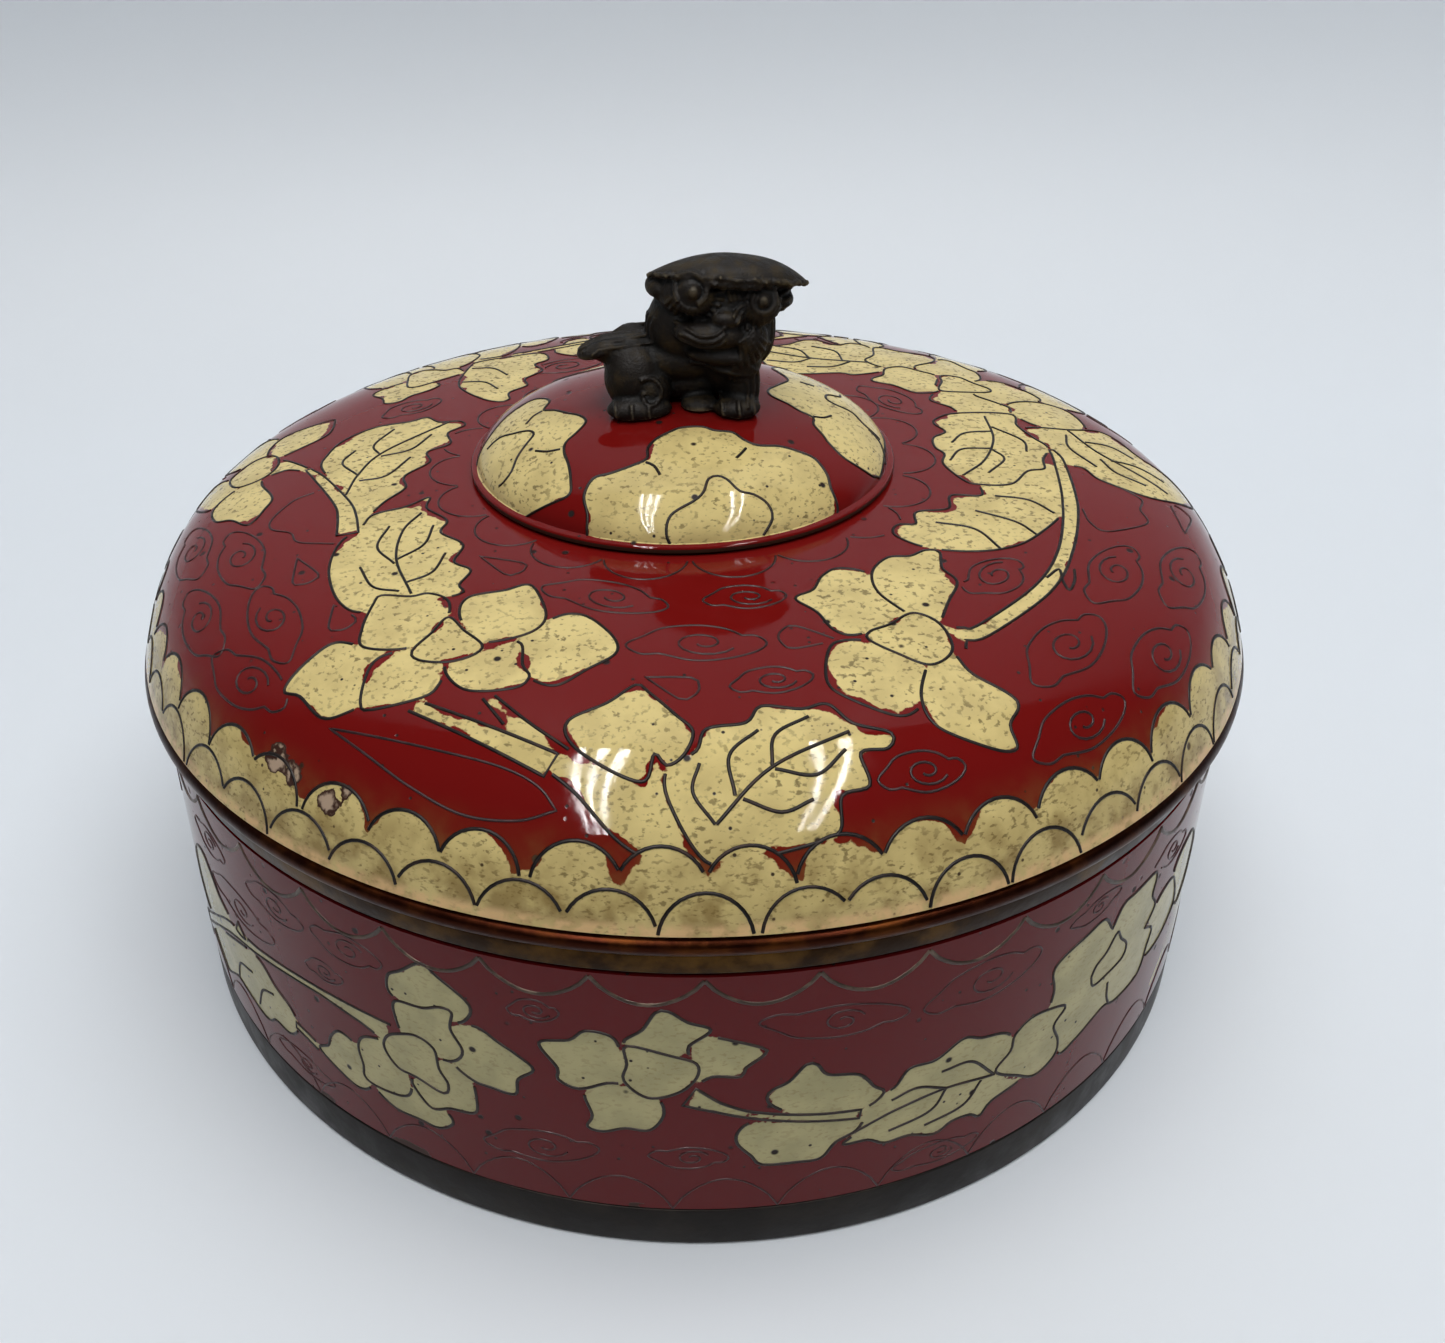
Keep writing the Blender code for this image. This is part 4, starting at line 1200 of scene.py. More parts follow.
# %% The wall's spray, left of the front
WALL_LEFT = [
    [(-30.5, 21.2), (-28.4, 21.9), (-26.7, 21), (-26.4, 18.6), (-25.6, 16.9), (-26.2, 15.5),
     (-29, 16.3), (-31.1, 16.6), (-32.4, 18.5), (-31.9, 20.2)],
    [(-30.4, 25.3), (-30.4, 22.6), (-29.6, 21.4), (-26.4, 20.1), (-24.6, 20.4), (-23.7, 22),
     (-24.7, 24.3), (-24.4, 26.4), (-25.6, 26.6), (-27.4, 25.8)],
    [(-30.5, 25.9), (-30.8, 28.2), (-29.2, 29.5), (-27, 31.2), (-25.4, 30.2), (-22.9, 28.4),
     (-22.5, 27), (-23.8, 25.4), (-26, 25.8)],
    [(-24.5, 24.6), (-22.1, 25.5), (-20.1, 24.3), (-18.4, 23.2), (-17, 21.8), (-18.5, 20.2),
     (-18.9, 18.2), (-21.2, 18.3), (-23, 18.6), (-25, 20.5)],
    [(-26.4, 19.9), (-24.6, 19.9), (-23.1, 18.6), (-22.8, 15.3), (-23.3, 14.1), (-25.6, 13.7),
     (-27.7, 12.8), (-29.2, 14.4), (-29.6, 15.8), (-28, 17.6)],
    [(-32.2, 19.4), (-34.9, 18.5), (-35.8, 16.7), (-35.5, 14.4), (-35.6, 12.9), (-34.4, 12.3),
     (-31.1, 12.7), (-29.9, 14), (-30, 16.6), (-31.2, 18.4)],
    [(-34.3, 12.2), (-32.2, 10.5), (-29.3, 10.4), (-27.2, 10.3), (-25.6, 11.7), (-26.4, 13.2),
     (-29.5, 15), (-30.4, 13.6)],
    [(-36.2, 16.9), (-38.2, 17.3), (-39.6, 15.8), (-40.2, 14.2), (-41.7, 12.8), (-39.2, 11.4),
     (-36.6, 10.6), (-34.9, 12), (-35, 15.6)],
    [(-55, 19.6), (-54.2, 21.2), (-54.2, 21.2), (-53, 19.7)],
    ribbon([(-72, 8.4), (-66.3, 12.6), (-61, 16.2), (-56.3, 18.7), (-50, 20), (-45, 20.9),
            (-40, 21.4), (-35, 21.2), (-31.5, 20.6)],
           [1.3, 1.2, 1.3, 1.6, 0.9, 0.8, 0.8, 1.6, 2.8]),
    ribbon([(-45.2, 13.6), (-43.3, 13.2), (-41.4, 12.6)], [0.9, 0.9, 0.9]),
    [(-44.9, 13.4), (-45.7, 15.6), (-48, 16.9), (-50.2, 18.7), (-53, 18.4), (-58, 16.5),
     (-66, 12.5), (-63.4, 9.3), (-61.8, 8.5), (-59, 10.2), (-57, 10.9), (-51.5, 9.9),
     (-49.3, 11.2), (-46.6, 11.3)],
    [(-65, 23.8), (-62.2, 24.6), (-60.4, 23.4), (-58.8, 21.5), (-56.8, 20.3), (-57, 18.8),
     (-63, 15), (-66, 14.5), (-68, 17), (-67.5, 21)],
]

# %% The wall's spray, at the front and to the right
WALL_FRONT = [
    [(-8.9, 25.9), (-8, 26.2), (-5, 25.3), (-2.8, 24.4), (-2.8, 22.6), (-4.4, 20.8), (-7, 20.1),
     (-9, 22), (-8.7, 24)],
    [(-9.2, 25.5), (-10, 27.2), (-12.2, 27.5), (-13.6, 26.2), (-16.3, 25.3), (-14.8, 22.6),
     (-14.8, 21.2), (-13, 20.4), (-10.5, 21.5), (-8.8, 22)],
    [(-8.9, 26.6), (-7.3, 28.2), (-6.2, 30.2), (-5.1, 30.4), (-3.5, 29.2), (-1.6, 28.3),
     (-3.4, 26.5), (-3.7, 25.2), (-7, 25.2)],
    [(-9.2, 21.4), (-11.6, 21.1), (-12.5, 19.7), (-11.9, 17.2), (-12.4, 15.7), (-11, 15.3),
     (-9, 16), (-6.8, 16), (-5.6, 18.2), (-6.4, 20.4)],
    [(-3.4, 25.7), (-2.4, 27.4), (-1, 27.4), (2.7, 26), (3, 25.2), (1.4, 23.7), (1, 22.7),
     (-1.4, 22.8), (-2.9, 21.9), (-3.1, 23.4)],
    ribbon([(-3.4, 20.3), (-1, 19), (1.4, 18), (4.4, 17.2), (8, 16.5), (11.8, 16)],
           [2.4, 1.2, 0.8, 0.8, 0.9, 1.1]),
    [(3.3, 19.9), (3.8, 20.8), (5.2, 21.6), (6.6, 23.4), (7.6, 23.2), (8.6, 21.8), (11.4, 21.1),
     (12.9, 19.2), (13.9, 18.1), (12, 16.6), (7.5, 16.6), (4, 18.6)],
    [(2.4, 16.9), (0.9, 15.8), (0.8, 14.2), (2.1, 12.4), (3, 11.2), (6.3, 11), (8.4, 11.1),
     (9.7, 12.9), (11.6, 14), (11.7, 15.6), (7, 16.2)],
    [(25.6, 15.7), (27.1, 17.6), (27.4, 19.5), (29.6, 20.7), (33.6, 19.6), (32.4, 17.8),
     (33.4, 15.2), (33.2, 13.3), (30.8, 12.2), (28.4, 13.6)],
    [(10.4, 12.4), (11.8, 13.9), (12.1, 16.6), (13.2, 17.8), (14.9, 18.4), (16.2, 20.3),
     (18.8, 20.4), (21.4, 21.9), (23.4, 21.1), (26, 20.4), (27.3, 18.8), (26.6, 16.9),
     (25.6, 15.7), (26.9, 14), (28.8, 12.8), (25.6, 11.8), (24.4, 10.4), (23.2, 11.2),
     (21.2, 11.3), (19.5, 10.4), (16.8, 11.4), (14.4, 11.3), (12.7, 12.3)],
    [(31.5, 20), (31.6, 22.8), (31.1, 25.2), (32.2, 26.4), (35, 27.3), (37.6, 27.8), (39.2, 25.7),
     (39.2, 25.7), (40.5, 27.8), (42.4, 28), (46.2, 28.1), (46.9, 27), (46.7, 25), (47.9, 23),
     (46.3, 21.1), (46.3, 21.1), (48.3, 19.7), (47.8, 17.6), (46.8, 14.8), (42.5, 14.4),
     (40, 15.1), (36.2, 13.6), (34, 13), (33.4, 15.2), (32.3, 17.5), (33.7, 19.5), (33.7, 19.5)],
    [(47.2, 21.4), (49.2, 23.4), (52, 23.5), (53.5, 22), (55, 18.5), (53.6, 17), (50.6, 16),
     (47.6, 16.5), (48.4, 19)],
    [(52.4, 24.4), (54.4, 25.9), (58, 25.5), (60.6, 22), (60, 18.4), (56.6, 16.8), (54.4, 19.8),
     (53.3, 22.4)],
]
ROSE_HEART = [
    (37, 21.1), (37.5, 22.2), (38.9, 23), (40.3, 24.6), (41.3, 23.2), (42.6, 21.7), (42.2, 20.2),
    (39.6, 19.7), (37.6, 19.6), (37, 21.1)]
WALL_VEINS = [
    [(-57.6, 11), (-56.2, 14), (-53, 15.2)], [(-52.7, 11), (-51.2, 14), (-48.8, 15.2)],
    [(11.1, 13.6), (15.3, 15.4), (20.2, 16.2), (25.5, 15.4)],
    [(14.7, 16.8), (17.2, 17.5), (20.2, 16.2)], [(20.2, 16.2), (18.8, 13.9), (14.7, 12.8)],
    [(19.5, 18.6), (22.6, 18.5), (25.3, 15.6)], [(24, 15.4), (22.3, 13), (18.3, 12.1)],
    [(40.2, 18.3), (40.5, 16.4), (41.1, 15)], ROSE_HEART,
]
# Each cloud: middle x and height, length, width, tilt in degrees, and the side it bulges to
WALL_CLOUDS = [
    (-35.6, 29.1, 8.5, 3.4, 4, -1), (-39, 24.6, 5, 2.4, 0, 1), (-53, 24, 13, 4, -4, 1),
    (-58.5, 28.8, 8, 3.4, 4, -1), (-45.5, 29, 9, 3.4, -5, 1), (-16.7, 29, 4.6, 2.5, 0, 1),
    (9, 28, 13, 3.6, -3, -1), (23, 28.2, 12, 4.6, 4, 1), (36, 30, 7, 2.2, 10, -1),
    (-17, 12, 11, 4, 6, 1), (-3.5, 12.4, 7, 2.8, 3, -1), (20, 7.6, 9, 2.6, 0, 1),
    (50, 28.4, 8, 3.4, -12, 1), (-45, 8.4, 9, 2.6, -4, 1)]

# %% The wall unrolled
WALL_ROLL_MM = 59.2
ROUND_MM = math.tau * WALL_ROLL_MM
THIRD_MM = ROUND_MM / 3
ARCHES = 39
# A copied shape is left out where it would come nearer to the front than this
CLEAR_MM = 72


class WallRoll:
    """The wall unrolled: distance round from the front, and height, in millimetres."""

    def lay(self, flat, lift=0.0):
        angle = flat[:, 0] / WALL_ROLL_MM - math.pi / 2
        height = flat[:, 1] * MM
        radius = wall_radius(height) + lift
        return np.stack([radius * np.cos(angle), radius * np.sin(angle), height], 1)

    def unroll(self, places):
        angle = np.arctan2(places[:, 0], -places[:, 1])
        return np.stack([angle * WALL_ROLL_MM, places[:, 2] / MM], 1)


def festoon(first_mm, height_mm, sag_mm, power):
    """A row of arcs round the wall. They hang where the sag is positive and stand where it is not."""
    pitch = ROUND_MM / ARCHES
    share = np.linspace(0, 1, 13)
    rise = height_mm - sag_mm * np.sin(math.pi * share) ** power
    return [np.stack([first_mm + pitch * (k + share), rise], 1) for k in range(ARCHES)]


def kept(lines, way):
    """The lines that a copy moved round by way draws."""
    return [line for line in lines if way == 0 or np.abs(np.array(line)[:, 0] + way).min() > CLEAR_MM]


wall_roll = WallRoll()
wall_pattern = Pattern()
wall_clouds = Pattern()
spray = [outline_of(points) for points in WALL_LEFT + WALL_FRONT]
# The copy that runs past the back of the wall hides what the next one would draw there
wall_pattern.shapes = [outline - (2 * THIRD_MM, 0) for outline in spray]
for way in (0, THIRD_MM, -THIRD_MM):
    lay_shapes(wall_pattern, kept(spray, way), place=(way, 0))
    for vein in kept(WALL_VEINS, way):
        wall_pattern.line(np.array(vein) + (way, 0))
wall_clouds.shapes = wall_pattern.shapes
for way in (0, THIRD_MM, -THIRD_MM):
    for x, *rest in WALL_CLOUDS:
        if way == 0 or abs(x + way) >= CLEAR_MM:
            lay_cloud(wall_clouds, x + way, *rest)
for arch in festoon(-24, 5.4, -4.1, 0.75):
    wall_clouds.under(arch)
hanging_arcs = [(arch, False) for arch in festoon(-2.1, 33.8, 2.8, 0.75)]
print(len(wall_pattern.shapes), "cream shapes on the wall")


def wall_depth(flat):
    """How deep a flat point of the wall lies in the cream, also across the seam at the back."""
    return np.maximum(wall_pattern.cream_at(flat), wall_pattern.cream_at(flat - (ROUND_MM, 0)))


# %% Wall shell
FLOOR_CORNER = 7.0 * MM
FLOOR_THICK = 2.0 * MM
floor_top = wall_low.z + FLOOR_THICK
seat = foot_high.z + TOUCH
heights = np.linspace(seat, wall_high.z, 62)
corner_top = floor_top + FLOOR_CORNER
corner_middle = (wall_radius(corner_top) - WALL_THICK - FLOOR_CORNER, corner_top)
inside_heights = np.linspace(wall_high.z, corner_top, 6)
base_radius = FOOT_RADIUS - FOOT_WIDTH - TOUCH
wall_outline = np.vstack([
    [(0, wall_low.z), (base_radius, wall_low.z), (base_radius, seat)],
    np.stack([wall_radius(heights), heights], 1),
    np.stack([wall_radius(inside_heights) - WALL_THICK, inside_heights], 1),
    arc(corner_middle, (FLOOR_CORNER, FLOOR_CORNER), 0, -90, 8)[1:],
    [(0, floor_top)]])
wall_shell = turned("wall_enamel", wall_outline, SHELL_STEPS)
flat, outside = paint_cream(wall_shell, wall_roll, wall_depth)

# Chips at the foot of the wall, each 2.5 times as wide as it is high
WALL_CHIPS = [(-42, 5.5, 1.3), (-31, 5.2, 2.6), (-8.3, 5.6, 0.9)]
paint_chips(wall_shell, flat, outside, WALL_CHIPS, flatness=2.5)
dress(wall_shell, shaded_wall_glass, "box_body")

# %% Wires of the wall
FINE_WIRE_RADIUS = 0.11 * MM
ARC_RADIUS, ARC_SINK = 0.26 * MM, 0.14 * MM
solder("wall_wires", wall_pattern.wires, wall_roll, WIRE_RADIUS, WIRE_SINK, wall_copper)
solder("wall_cloud_wires", wall_clouds.wires, wall_roll, FINE_WIRE_RADIUS, THIN_WIRE_SINK, sunk_copper)
solder("wall_arc_wires", hanging_arcs, wall_roll, ARC_RADIUS, ARC_SINK, rubbed_copper)

# %% [markdown]
# ## The lion
# The real lion is one bronze casting. Its maker shaped it in wax: lumps for the haunches, chest,
# mane and head, a broad flat crest on top, rolls of wax for the curled brows, and threads for the
# hair. The same steps are taken here. Balls are pressed into lumps, a fine voxel skin runs
# everything into one, and the feet are cut to the boss, as a caster files them to sit.

# %% Lumps of the lion
LION_REACH = 9 * MM
LION_FOOT = boss_low.z + boss_rise * math.sqrt(1 - (LION_REACH / boss_radius) ** 2)
LION_PLACE = Vector((0, 0, LION_FOOT))
ROUGH_VOXEL, LION_VOXEL = 0.25 * MM, 0.135 * MM
FUR_FRONT, FUR_BACK, FUR_SIDE, FUR_TOP = (0, 1, 0), (0, -1, 0), (1, 0, 0), (0, 0, -1)

# Each lump: its middle and its radii in millimetres, and its tilts in degrees about Y and X
LION_LUMPS = [
    ((-4.9, -3.7, 3.5), (3.2, 2.9, 3.6), 0, 0), ((-4.9, 1.3, 3.6), (3.2, 2.9, 3.8), 0, 0),
    ((-3.4, -5.0, 2.4), (2.1, 1.8, 2.4), 0, 0), ((-4.6, -6.0, 0.9), (3.4, 1.9, 1.3), 0, 0),
    ((-4.5, 3.0, 1.0), (3.4, 2.0, 1.5), 0, 0), ((0, -1.7, 5.2), (6.3, 4.2, 2.8), 0, 0),
    ((0.7, -1.7, 2.8), (5.3, 3.4, 2.3), 0, 0), ((4.7, -2.4, 5.2), (3.7, 3.9, 4.3), 0, 0),
    ((6.0, -4.6, 3.0), (1.9, 2.2, 3.9), -4, 0), ((5.8, 1.3, 3.0), (2.1, 2.1, 4.0), 0, 0),
    ((5.4, -6.4, 0.8), (2.4, 1.9, 1.2), 0, 0), ((1.6, -5.0, 0.8), (1.9, 1.8, 1.0), 0, 0),
    ((5.7, 2.7, 0.8), (2.3, 2.0, 1.2), 0, 0), ((-5.3, -2.4, 6.1), (4.2, 2.6, 1.5), -4, 0),
    ((-8.3, -2.7, 6.35), (2.65, 2.1, 0.85), -16, 0), ((2.8, -2.0, 9.0), (5.5, 3.7, 4.5), 0, 0),
    ((0.1, -2.7, 8.4), (3.7, 3.5, 4.4), 0, 0), ((7.0, -3.2, 8.0), (2.3, 3.0, 4.0), 0, 0),
    ((4.3, -3.8, 11.2), (5.2, 3.5, 2.9), 4, 0), ((2.7, -6.6, 8.7), (3.7, 2.1, 1.4), 6, 0),
    ((6.5, -5.9, 7.8), (1.9, 1.9, 2.1), 0, 0), ((3.9, -6.1, 6.3), (3.8, 1.8, 1.0), 6, 0),
    ((5.1, -5.4, 5.2), (2.8, 1.8, 1.5), 8, 0), ((1.0, -6.7, 12.6), (1.9, 1.2, 1.9), 0, -10),
    ((7.5, -6.5, 11.4), (1.9, 1.2, 2.0), 0, -10), ((0.8, -7.7, 13.2), (0.7, 0.7, 0.7), 0, 0),
    ((7.6, -7.5, 12.0), (0.65, 0.7, 0.65), 0, 0), ((4.1, -7.3, 10.3), (1.6, 1.1, 0.9), 5, 0),
    ((-1.9, -2.6, 12.5), (1.8, 2.8, 1.2), 0, 0), ((8.7, -3.0, 11.2), (2.6, 2.4, 1.3), 14, 0),
    ((-0.3, -4.4, 12.2), (2.1, 2.3, 1.9), 0, 0),
]
CREST_MIDDLE = (4.6, -2.8, 12.9)
CREST_RADII = (8.2, 5.2, 2.5)
CREST_TILT_DEG, CREST_LEAN_DEG = 5.5, -15
CREST_BELOW = 0.35
CREST_POWERS = (1.9, 2.7)

parts = []
for middle, radii, tilt_deg, lean_deg in LION_LUMPS:
    parts.append(start(
        bpy.ops.mesh.primitive_uv_sphere_add, "lump", segments=32, ring_count=16, radius=MM,
        location=Vector(middle) * MM + LION_PLACE, scale=radii,
        rotation=(math.radians(lean_deg), math.radians(tilt_deg), 0)))

crest_turn = Matrix.Rotation(math.radians(CREST_TILT_DEG), 4, "Y") @ Matrix.Rotation(
    math.radians(CREST_LEAN_DEG), 4, "X")


def on_crest(x, y, z):
    """A point of a ball moved to the crest, which is a lens drawn out to a point at each side."""
    power = CREST_POWERS[x > 0]
    lens = min(1.0, (1 - min(abs(x), 1.0) ** power) / math.sqrt(1 - min(abs(x), 0.9999) ** 2))
    shares = (x, y * math.sqrt(lens), z * lens * (1 if z > 0 else CREST_BELOW))
    flat = Vector([share * radius for share, radius in zip(shares, CREST_RADII)])
    return (crest_turn @ flat + Vector(CREST_MIDDLE)) * MM + LION_PLACE


crest = start(
    bpy.ops.mesh.primitive_uv_sphere_add, "crest", segments=96, ring_count=48, radius=1,
    rotation=(0, math.pi / 2, 0))
bpy.ops.object.transform_apply(location=False, rotation=True, scale=False)
for vertex in crest.data.vertices:
    vertex.co = on_crest(*vertex.co)
parts.append(crest)


def joined(pieces, name):
    """All the pieces as one mesh at the origin."""
    bpy.ops.object.select_all(action="DESELECT")
    for piece in pieces:
        piece.select_set(True)
    bpy.context.view_layer.objects.active = pieces[0]
    bpy.ops.object.join()
    bpy.ops.object.transform_apply(location=True, rotation=True, scale=True)
    whole = bpy.context.active_object
    whole.name = whole.data.name = name
    return whole


def one_skin(piece, voxel):
    """Runs overlapping parts into one closed skin."""
    skin = piece.modifiers.new("one_skin", "REMESH")
    skin.mode = "VOXEL"
    skin.voxel_size = voxel
    soft = piece.modifiers.new("soft", "SMOOTH")
    soft.factor, soft.iterations = 0.4, 1
    bpy.context.view_layer.objects.active = piece
    for modifier in (skin.name, soft.name):
        bpy.ops.object.modifier_apply(modifier=modifier)


lion = joined(parts, "lion")
one_skin(lion, ROUGH_VOXEL)
print("lumps of the lion:", len(parts), "in a skin of", len(lion.data.polygons), "faces")

# %% [markdown]
# ## The lion's curls and hair
# Each thread is drawn as it is seen from one side, and falls on the skin from there. The brows are
# coils round the eyes, the hair of the face fans out under them, and the crest has a rough rolled
# lip. The back and the far side have plainer hair.

# %% Threads of the lion
lion.data.update()
bpy.context.view_layer.update()
threads = []
rough_edge = np.random.default_rng(8)
# A thread is moved out from the skin by this share of its radius, which `thick` gives in millimetres
THREAD_RISE = 0.2


def thread(points, thick, toward=FUR_FRONT):
    """Lays a line of (x, z) or (y, z) or (x, y) points in millimetres on the skin, as a round thread."""
    way = Vector(toward)
    across = [axis for axis in range(3) if not toward[axis]]
    laid = []
    for first, second in bend(points):
        begin = Vector()
        begin[across[0]], begin[across[1]] = first * MM, second * MM
        begin += LION_PLACE - way * 40 * MM
        hit, spot, _, _ = lion.ray_cast(begin, way)
        if hit:
            laid.append(spot - way * thick * MM * THREAD_RISE)
    if len(laid) > 3:
        threads.append((np.array(laid), thick))


def fan(middle, angles_deg, radii, thick, sweep_deg=0.0, toward=FUR_FRONT):
    """Hair that spreads from one point: a thread at each angle, turned a little as it goes."""
    for angle in angles_deg:
        share = np.linspace(0, 1, 4)
        turned_to = np.radians(angle + sweep_deg * share)
        reach = radii[0] + (radii[1] - radii[0]) * share
        thread(around(middle, reach, turned_to), thick, toward)


def curl(middle, radii, first_deg, turns, thick, toward=FUR_FRONT):
    """A coil that winds in on its middle."""
    share = np.linspace(0, 1, 14)
    angle = np.radians(first_deg + 360 * turns * share)
    reach = radii[0] + (radii[1] - radii[0]) * share
    thread(around(middle, reach, angle), thick, toward)


# %% Hair and brows
EYE_LEFT, EYE_RIGHT = (0.8, 13.2), (7.6, 12.0)
curl(EYE_LEFT, (1.7, 1.2), 215, -0.8, 0.34)
curl(EYE_RIGHT, (1.6, 0.95), 175, -1.1, 0.3)
fan(EYE_LEFT, range(-160, -10, 13), (1.5, 3.1), 0.22, 12)
fan(EYE_RIGHT, range(-170, -10, 13), (1.4, 3.3), 0.22, 14)
for x in np.arange(4.2, 6.6, 0.5):
    thread([(x, 13.9), (x + 0.1, 13.0), (x + 0.3, 12.0)], 0.2)
for z in (9.6, 9.0, 8.4):
    thread([(-0.9, z + 0.2), (0.2, z), (1.5, z - 0.5), (3.0, z - 0.4), (3.9, z + 0.2)], 0.2)
fan((4.8, 10.4), range(-76, -30, 8), (2.2, 5.2), 0.2, -6)
thread([(0.6, 5.6), (2.6, 5.2), (5.0, 4.6), (7.0, 4.2)], 0.26)
fan((5.4, 6.6), range(-112, -48, 10), (1.2, 3.0), 0.18, 6)
for x in (6.3, 6.9, 7.4):
    thread([(x, 4.4), (x + 0.1, 2.8), (x, 1.2)], 0.2)
for x in (-7.0, -5.4, -3.7, 3.8, 5.4, 6.9):
    thread([(x, 1.8), (x, 1.2), (x + 0.1, 0.5)], 0.24)
curl((-3.6, 2.6), (1.7, 0.5), 120, -0.9, 0.24)
for y in (-3.8, -2.8, -1.8):
    thread([(-10.6, -2.8 + (y + 2.8) * 0.2), (-8.5, y), (-6.0, y)], 0.2, FUR_TOP)
for z in (9.4, 7.6, 5.8):
    for x in np.arange(-2.6, 9.0, 1.3):
        curl((x, z), (0.8, 0.3), 90 + 40 * x, -0.8, 0.24, FUR_BACK)
for y in np.arange(-4.6, 1.4, 0.8):
    thread([(y, 9.8), (y + 0.3, 8.2), (y, 6.2)], 0.2, FUR_SIDE)
    thread([(y, 9.6), (y - 0.3, 7.6), (y, 5.0)], 0.2, (-1, 0, 0))

# The rough lip along the crest's front edge, and a thick roll under it: first and last angle,
# how far out, how far down, and radius
CREST_LIPS = ((-165, -15, 1.0, 0.0, 0.3), (-112, -70, 0.93, -0.5, 0.5))
for first_deg, last_deg, inward, low, thick in CREST_LIPS:
    edge = [on_crest(inward * math.cos(a), inward * math.sin(a), low)
            for a in np.linspace(math.radians(first_deg), math.radians(last_deg), 60)]
    rough = rough_edge.normal(0, 0.07 * MM, (len(edge), 3))
    threads.append((np.array(edge) + rough, thick))

# %% One casting
hair = [lay_wires("hair", [(places, False)], lambda line, lift: line, thick * MM, 0)
        for places, thick in threads]
lion = joined([lion] + hair, "lion")
one_skin(lion, LION_VOXEL)
print("threads of the lion:", len(threads), "and faces in all:", len(lion.data.polygons))

# %% Feet on the boss, and raised places for wear, painted highlight and painted shade
reach = np.linspace(0, 0.85 * boss_radius, 12)
dome = boss_low.z + (boss_rise + TOUCH) * np.sqrt(1 - (reach / (boss_radius + TOUCH)) ** 2)
under = boss_low.z - 2 * MM
cutter = turned("boss_cutter", [(0, under), *zip(reach, dome), (reach[-1], under)][::-1], 96)
cut = lion.modifiers.new("feet_on_boss", "BOOLEAN")
cut.operation, cut.object = "DIFFERENCE", cutter
bpy.context.view_layer.objects.active = lion
bpy.ops.object.modifier_apply(modifier=cut.name)
bpy.data.objects.remove(cutter)

edges = np.empty(2 * len(lion.data.edges), np.int32)
lion.data.edges.foreach_get("vertices", edges)
edges = edges.reshape(-1, 2)
places = corners_of(lion)
count = np.bincount(edges.ravel(), minlength=len(places))[:, None]


def eased(values):
    """The mean of each point's neighbours."""
    total = np.zeros_like(values)
    np.add.at(total, edges[:, 0], values[edges[:, 1]])
    np.add.at(total, edges[:, 1], values[edges[:, 0]])
    return total / count


# After a few rounds of easing the fine hair stands out of the eased skin, and after many the lumps
EASED_ROUNDS = (6, 40)
normals = np.empty(3 * len(places), np.float32)
lion.data.vertices.foreach_get("normal", normals)
raised = np.zeros(len(places))
smooth_places = places
for number in range(max(EASED_ROUNDS)):
    smooth_places = eased(smooth_places)
    if number + 1 in EASED_ROUNDS:
        raised += ((places - smooth_places) * normals.reshape(-1, 3)).sum(1) / MM
# The shader paints the raised places lighter, as wear and painted highlight, and the sunken ones dark, as
# painted shade
paint(lion, "raised", raised)
bpy.ops.object.shade_smooth()
dress(lion, bronze, "lion_finial")
print("raised by", round(float(raised.min()), 2), "to", round(float(raised.max()), 2), "mm")

# %% [markdown]
# ## Floor and light
# The photograph was taken on a pale table, with a pale sheet rising behind it and long lights
# overhead. Here the floor bends up into a backdrop, as a studio's paper sweep does. A broad soft
# lamp gives the even light. Five long narrow tubes give only the bright bars on the polished glass,
# and the broad lamp is kept out of the reflections. The Standard view transform keeps the colours
# as the hex values give them.

# %% Paper sweep
SWEEP_WIDTH = 9.0
SWEEP_FRONT = -4.0
SWEEP_FOOT = 125 * MM
SWEEP_BEND = 90 * MM
SWEEP_RISE = 1.5

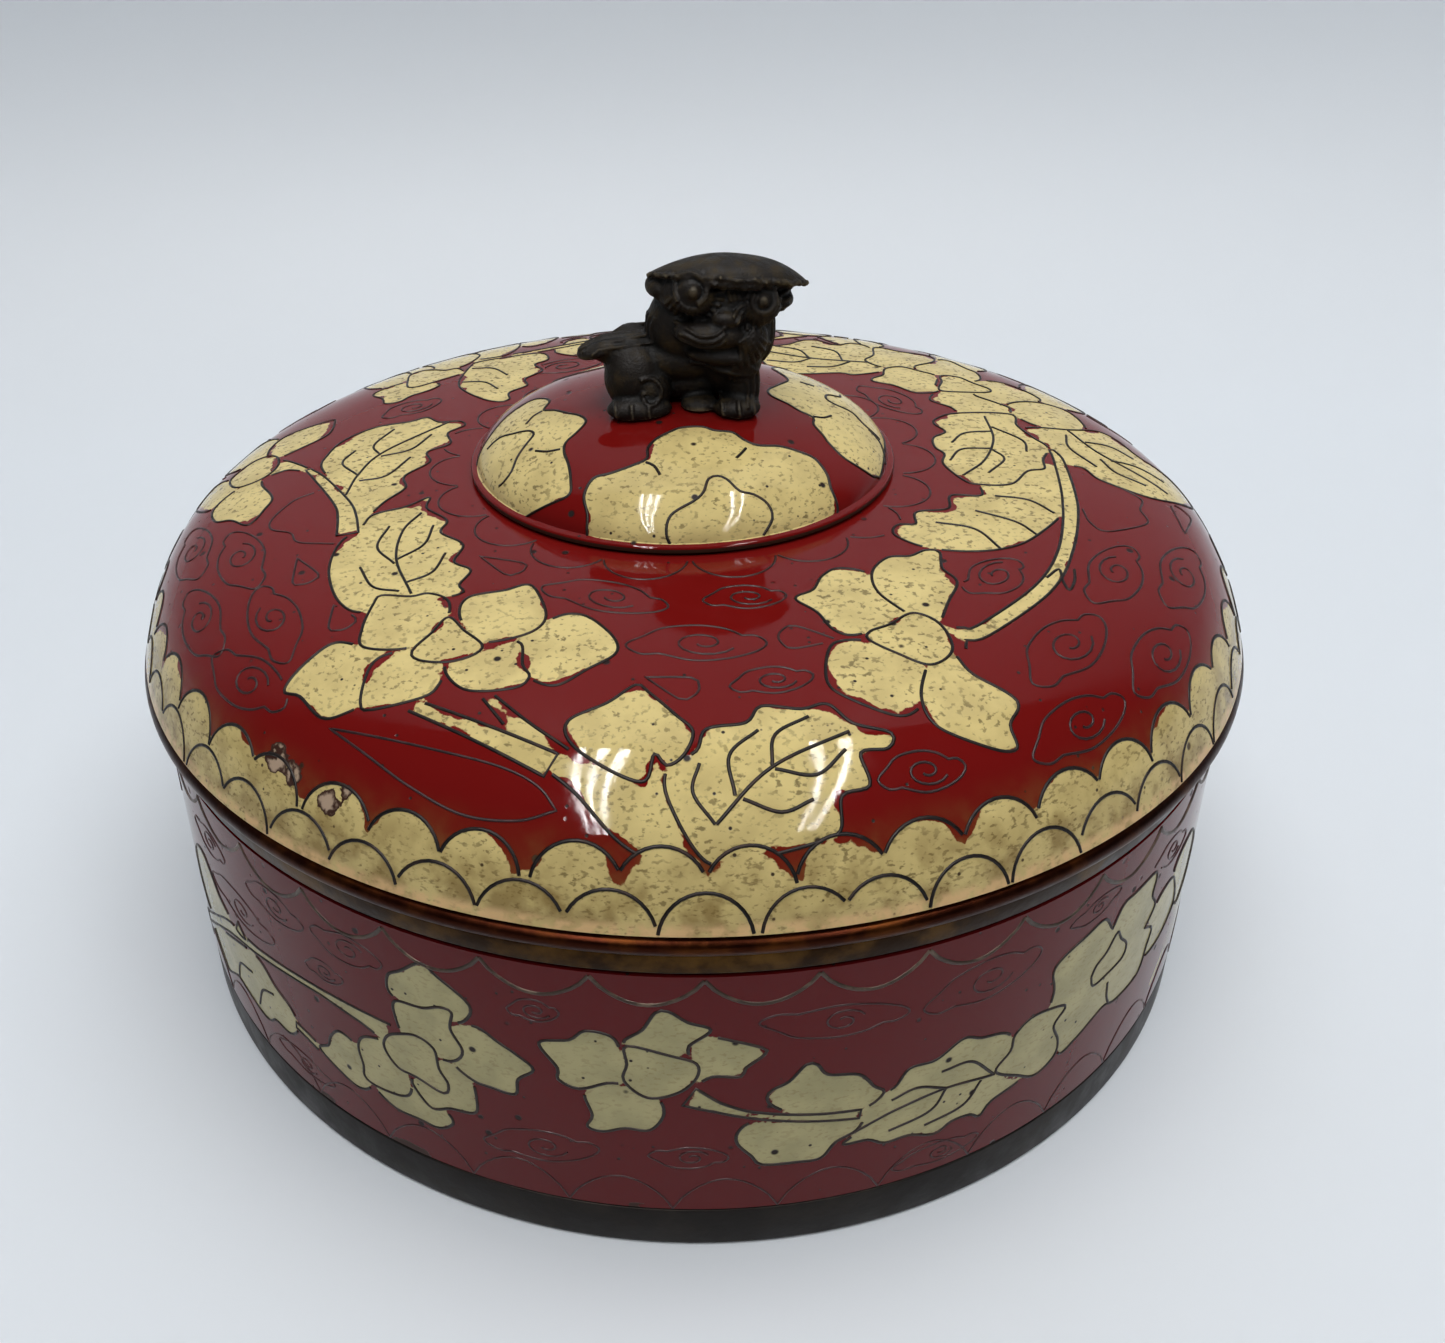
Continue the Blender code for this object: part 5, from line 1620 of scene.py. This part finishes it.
sweep = start(bpy.ops.mesh.primitive_plane_add, "pale_floor", size=SWEEP_WIDTH)
for vertex in sweep.data.vertices:
    vertex.co.y = SWEEP_FOOT if vertex.co.y > 0 else SWEEP_FRONT
for edge in sweep.data.edges:
    edge.select = all(sweep.data.vertices[i].co.y == SWEEP_FOOT for i in edge.vertices)
for vertex in sweep.data.vertices:
    vertex.select = vertex.co.y == SWEEP_FOOT
for face in sweep.data.polygons:
    face.select = False
bpy.ops.object.mode_set(mode="EDIT")
bpy.ops.mesh.spin(
    steps=14, angle=-math.pi / 2, center=(0, SWEEP_FOOT, SWEEP_BEND), axis=(1, 0, 0))
bpy.ops.mesh.extrude_region_move(TRANSFORM_OT_translate={"value": (0, 0, SWEEP_RISE)})
bpy.ops.object.mode_set(mode="OBJECT")
bpy.ops.object.shade_smooth()
sweep_paper, _, shader, _ = new_material("pale_sweep_paper")
shader.inputs["Base Color"].default_value = colour("DFE4E9")
shader.inputs["Roughness"].default_value = 0.6
sweep.data.materials.append(sweep_paper)
print("sweep rises to", round(max(v.co.z for v in sweep.data.vertices) / MM), "mm")

# %% Surround and lamps
world = bpy.data.worlds.new("pale_room")
world.use_nodes = True
bpy.context.scene.world = world
surround = world.node_tree.nodes["Background"]
surround.inputs["Color"].default_value = colour("DCE4F0")
surround.inputs["Strength"].default_value = 0.09
bpy.context.scene.view_settings.view_transform = "Standard"


def lamp(name, place_mm, size_mm, watts, turn_deg=0.0):
    """A soft rectangular lamp that faces straight down."""
    bpy.ops.object.select_all(action="DESELECT")
    bpy.ops.object.light_add(
        type="AREA", location=Vector(place_mm) * MM, rotation=(0, 0, math.radians(turn_deg)))
    made = bpy.context.active_object
    made.name = name
    made.data.shape = "RECTANGLE"
    made.data.size, made.data.size_y = size_mm[0] * MM, size_mm[1] * MM
    made.data.energy = watts
    return made


broad_lamp = lamp("broad_lamp", (120, -220, 1100), (1300, 1300), 15.5)
broad_lamp.visible_glossy = False

# Three tubes on the left and two on the right: how far across in millimetres, and their turn
TUBES = ((-356, -14.4), (-316, -14.4), (-276, -14.4), (358, 9), (418, 9))
TUBE_SIZE_MM, TUBE_WATTS = (13, 1500), 5.5
for number, (x, turn_deg) in enumerate(TUBES, 1):
    tube = lamp(f"tube_{number}", (x, -600, 1000), TUBE_SIZE_MM, TUBE_WATTS, turn_deg)
    tube.visible_diffuse = False
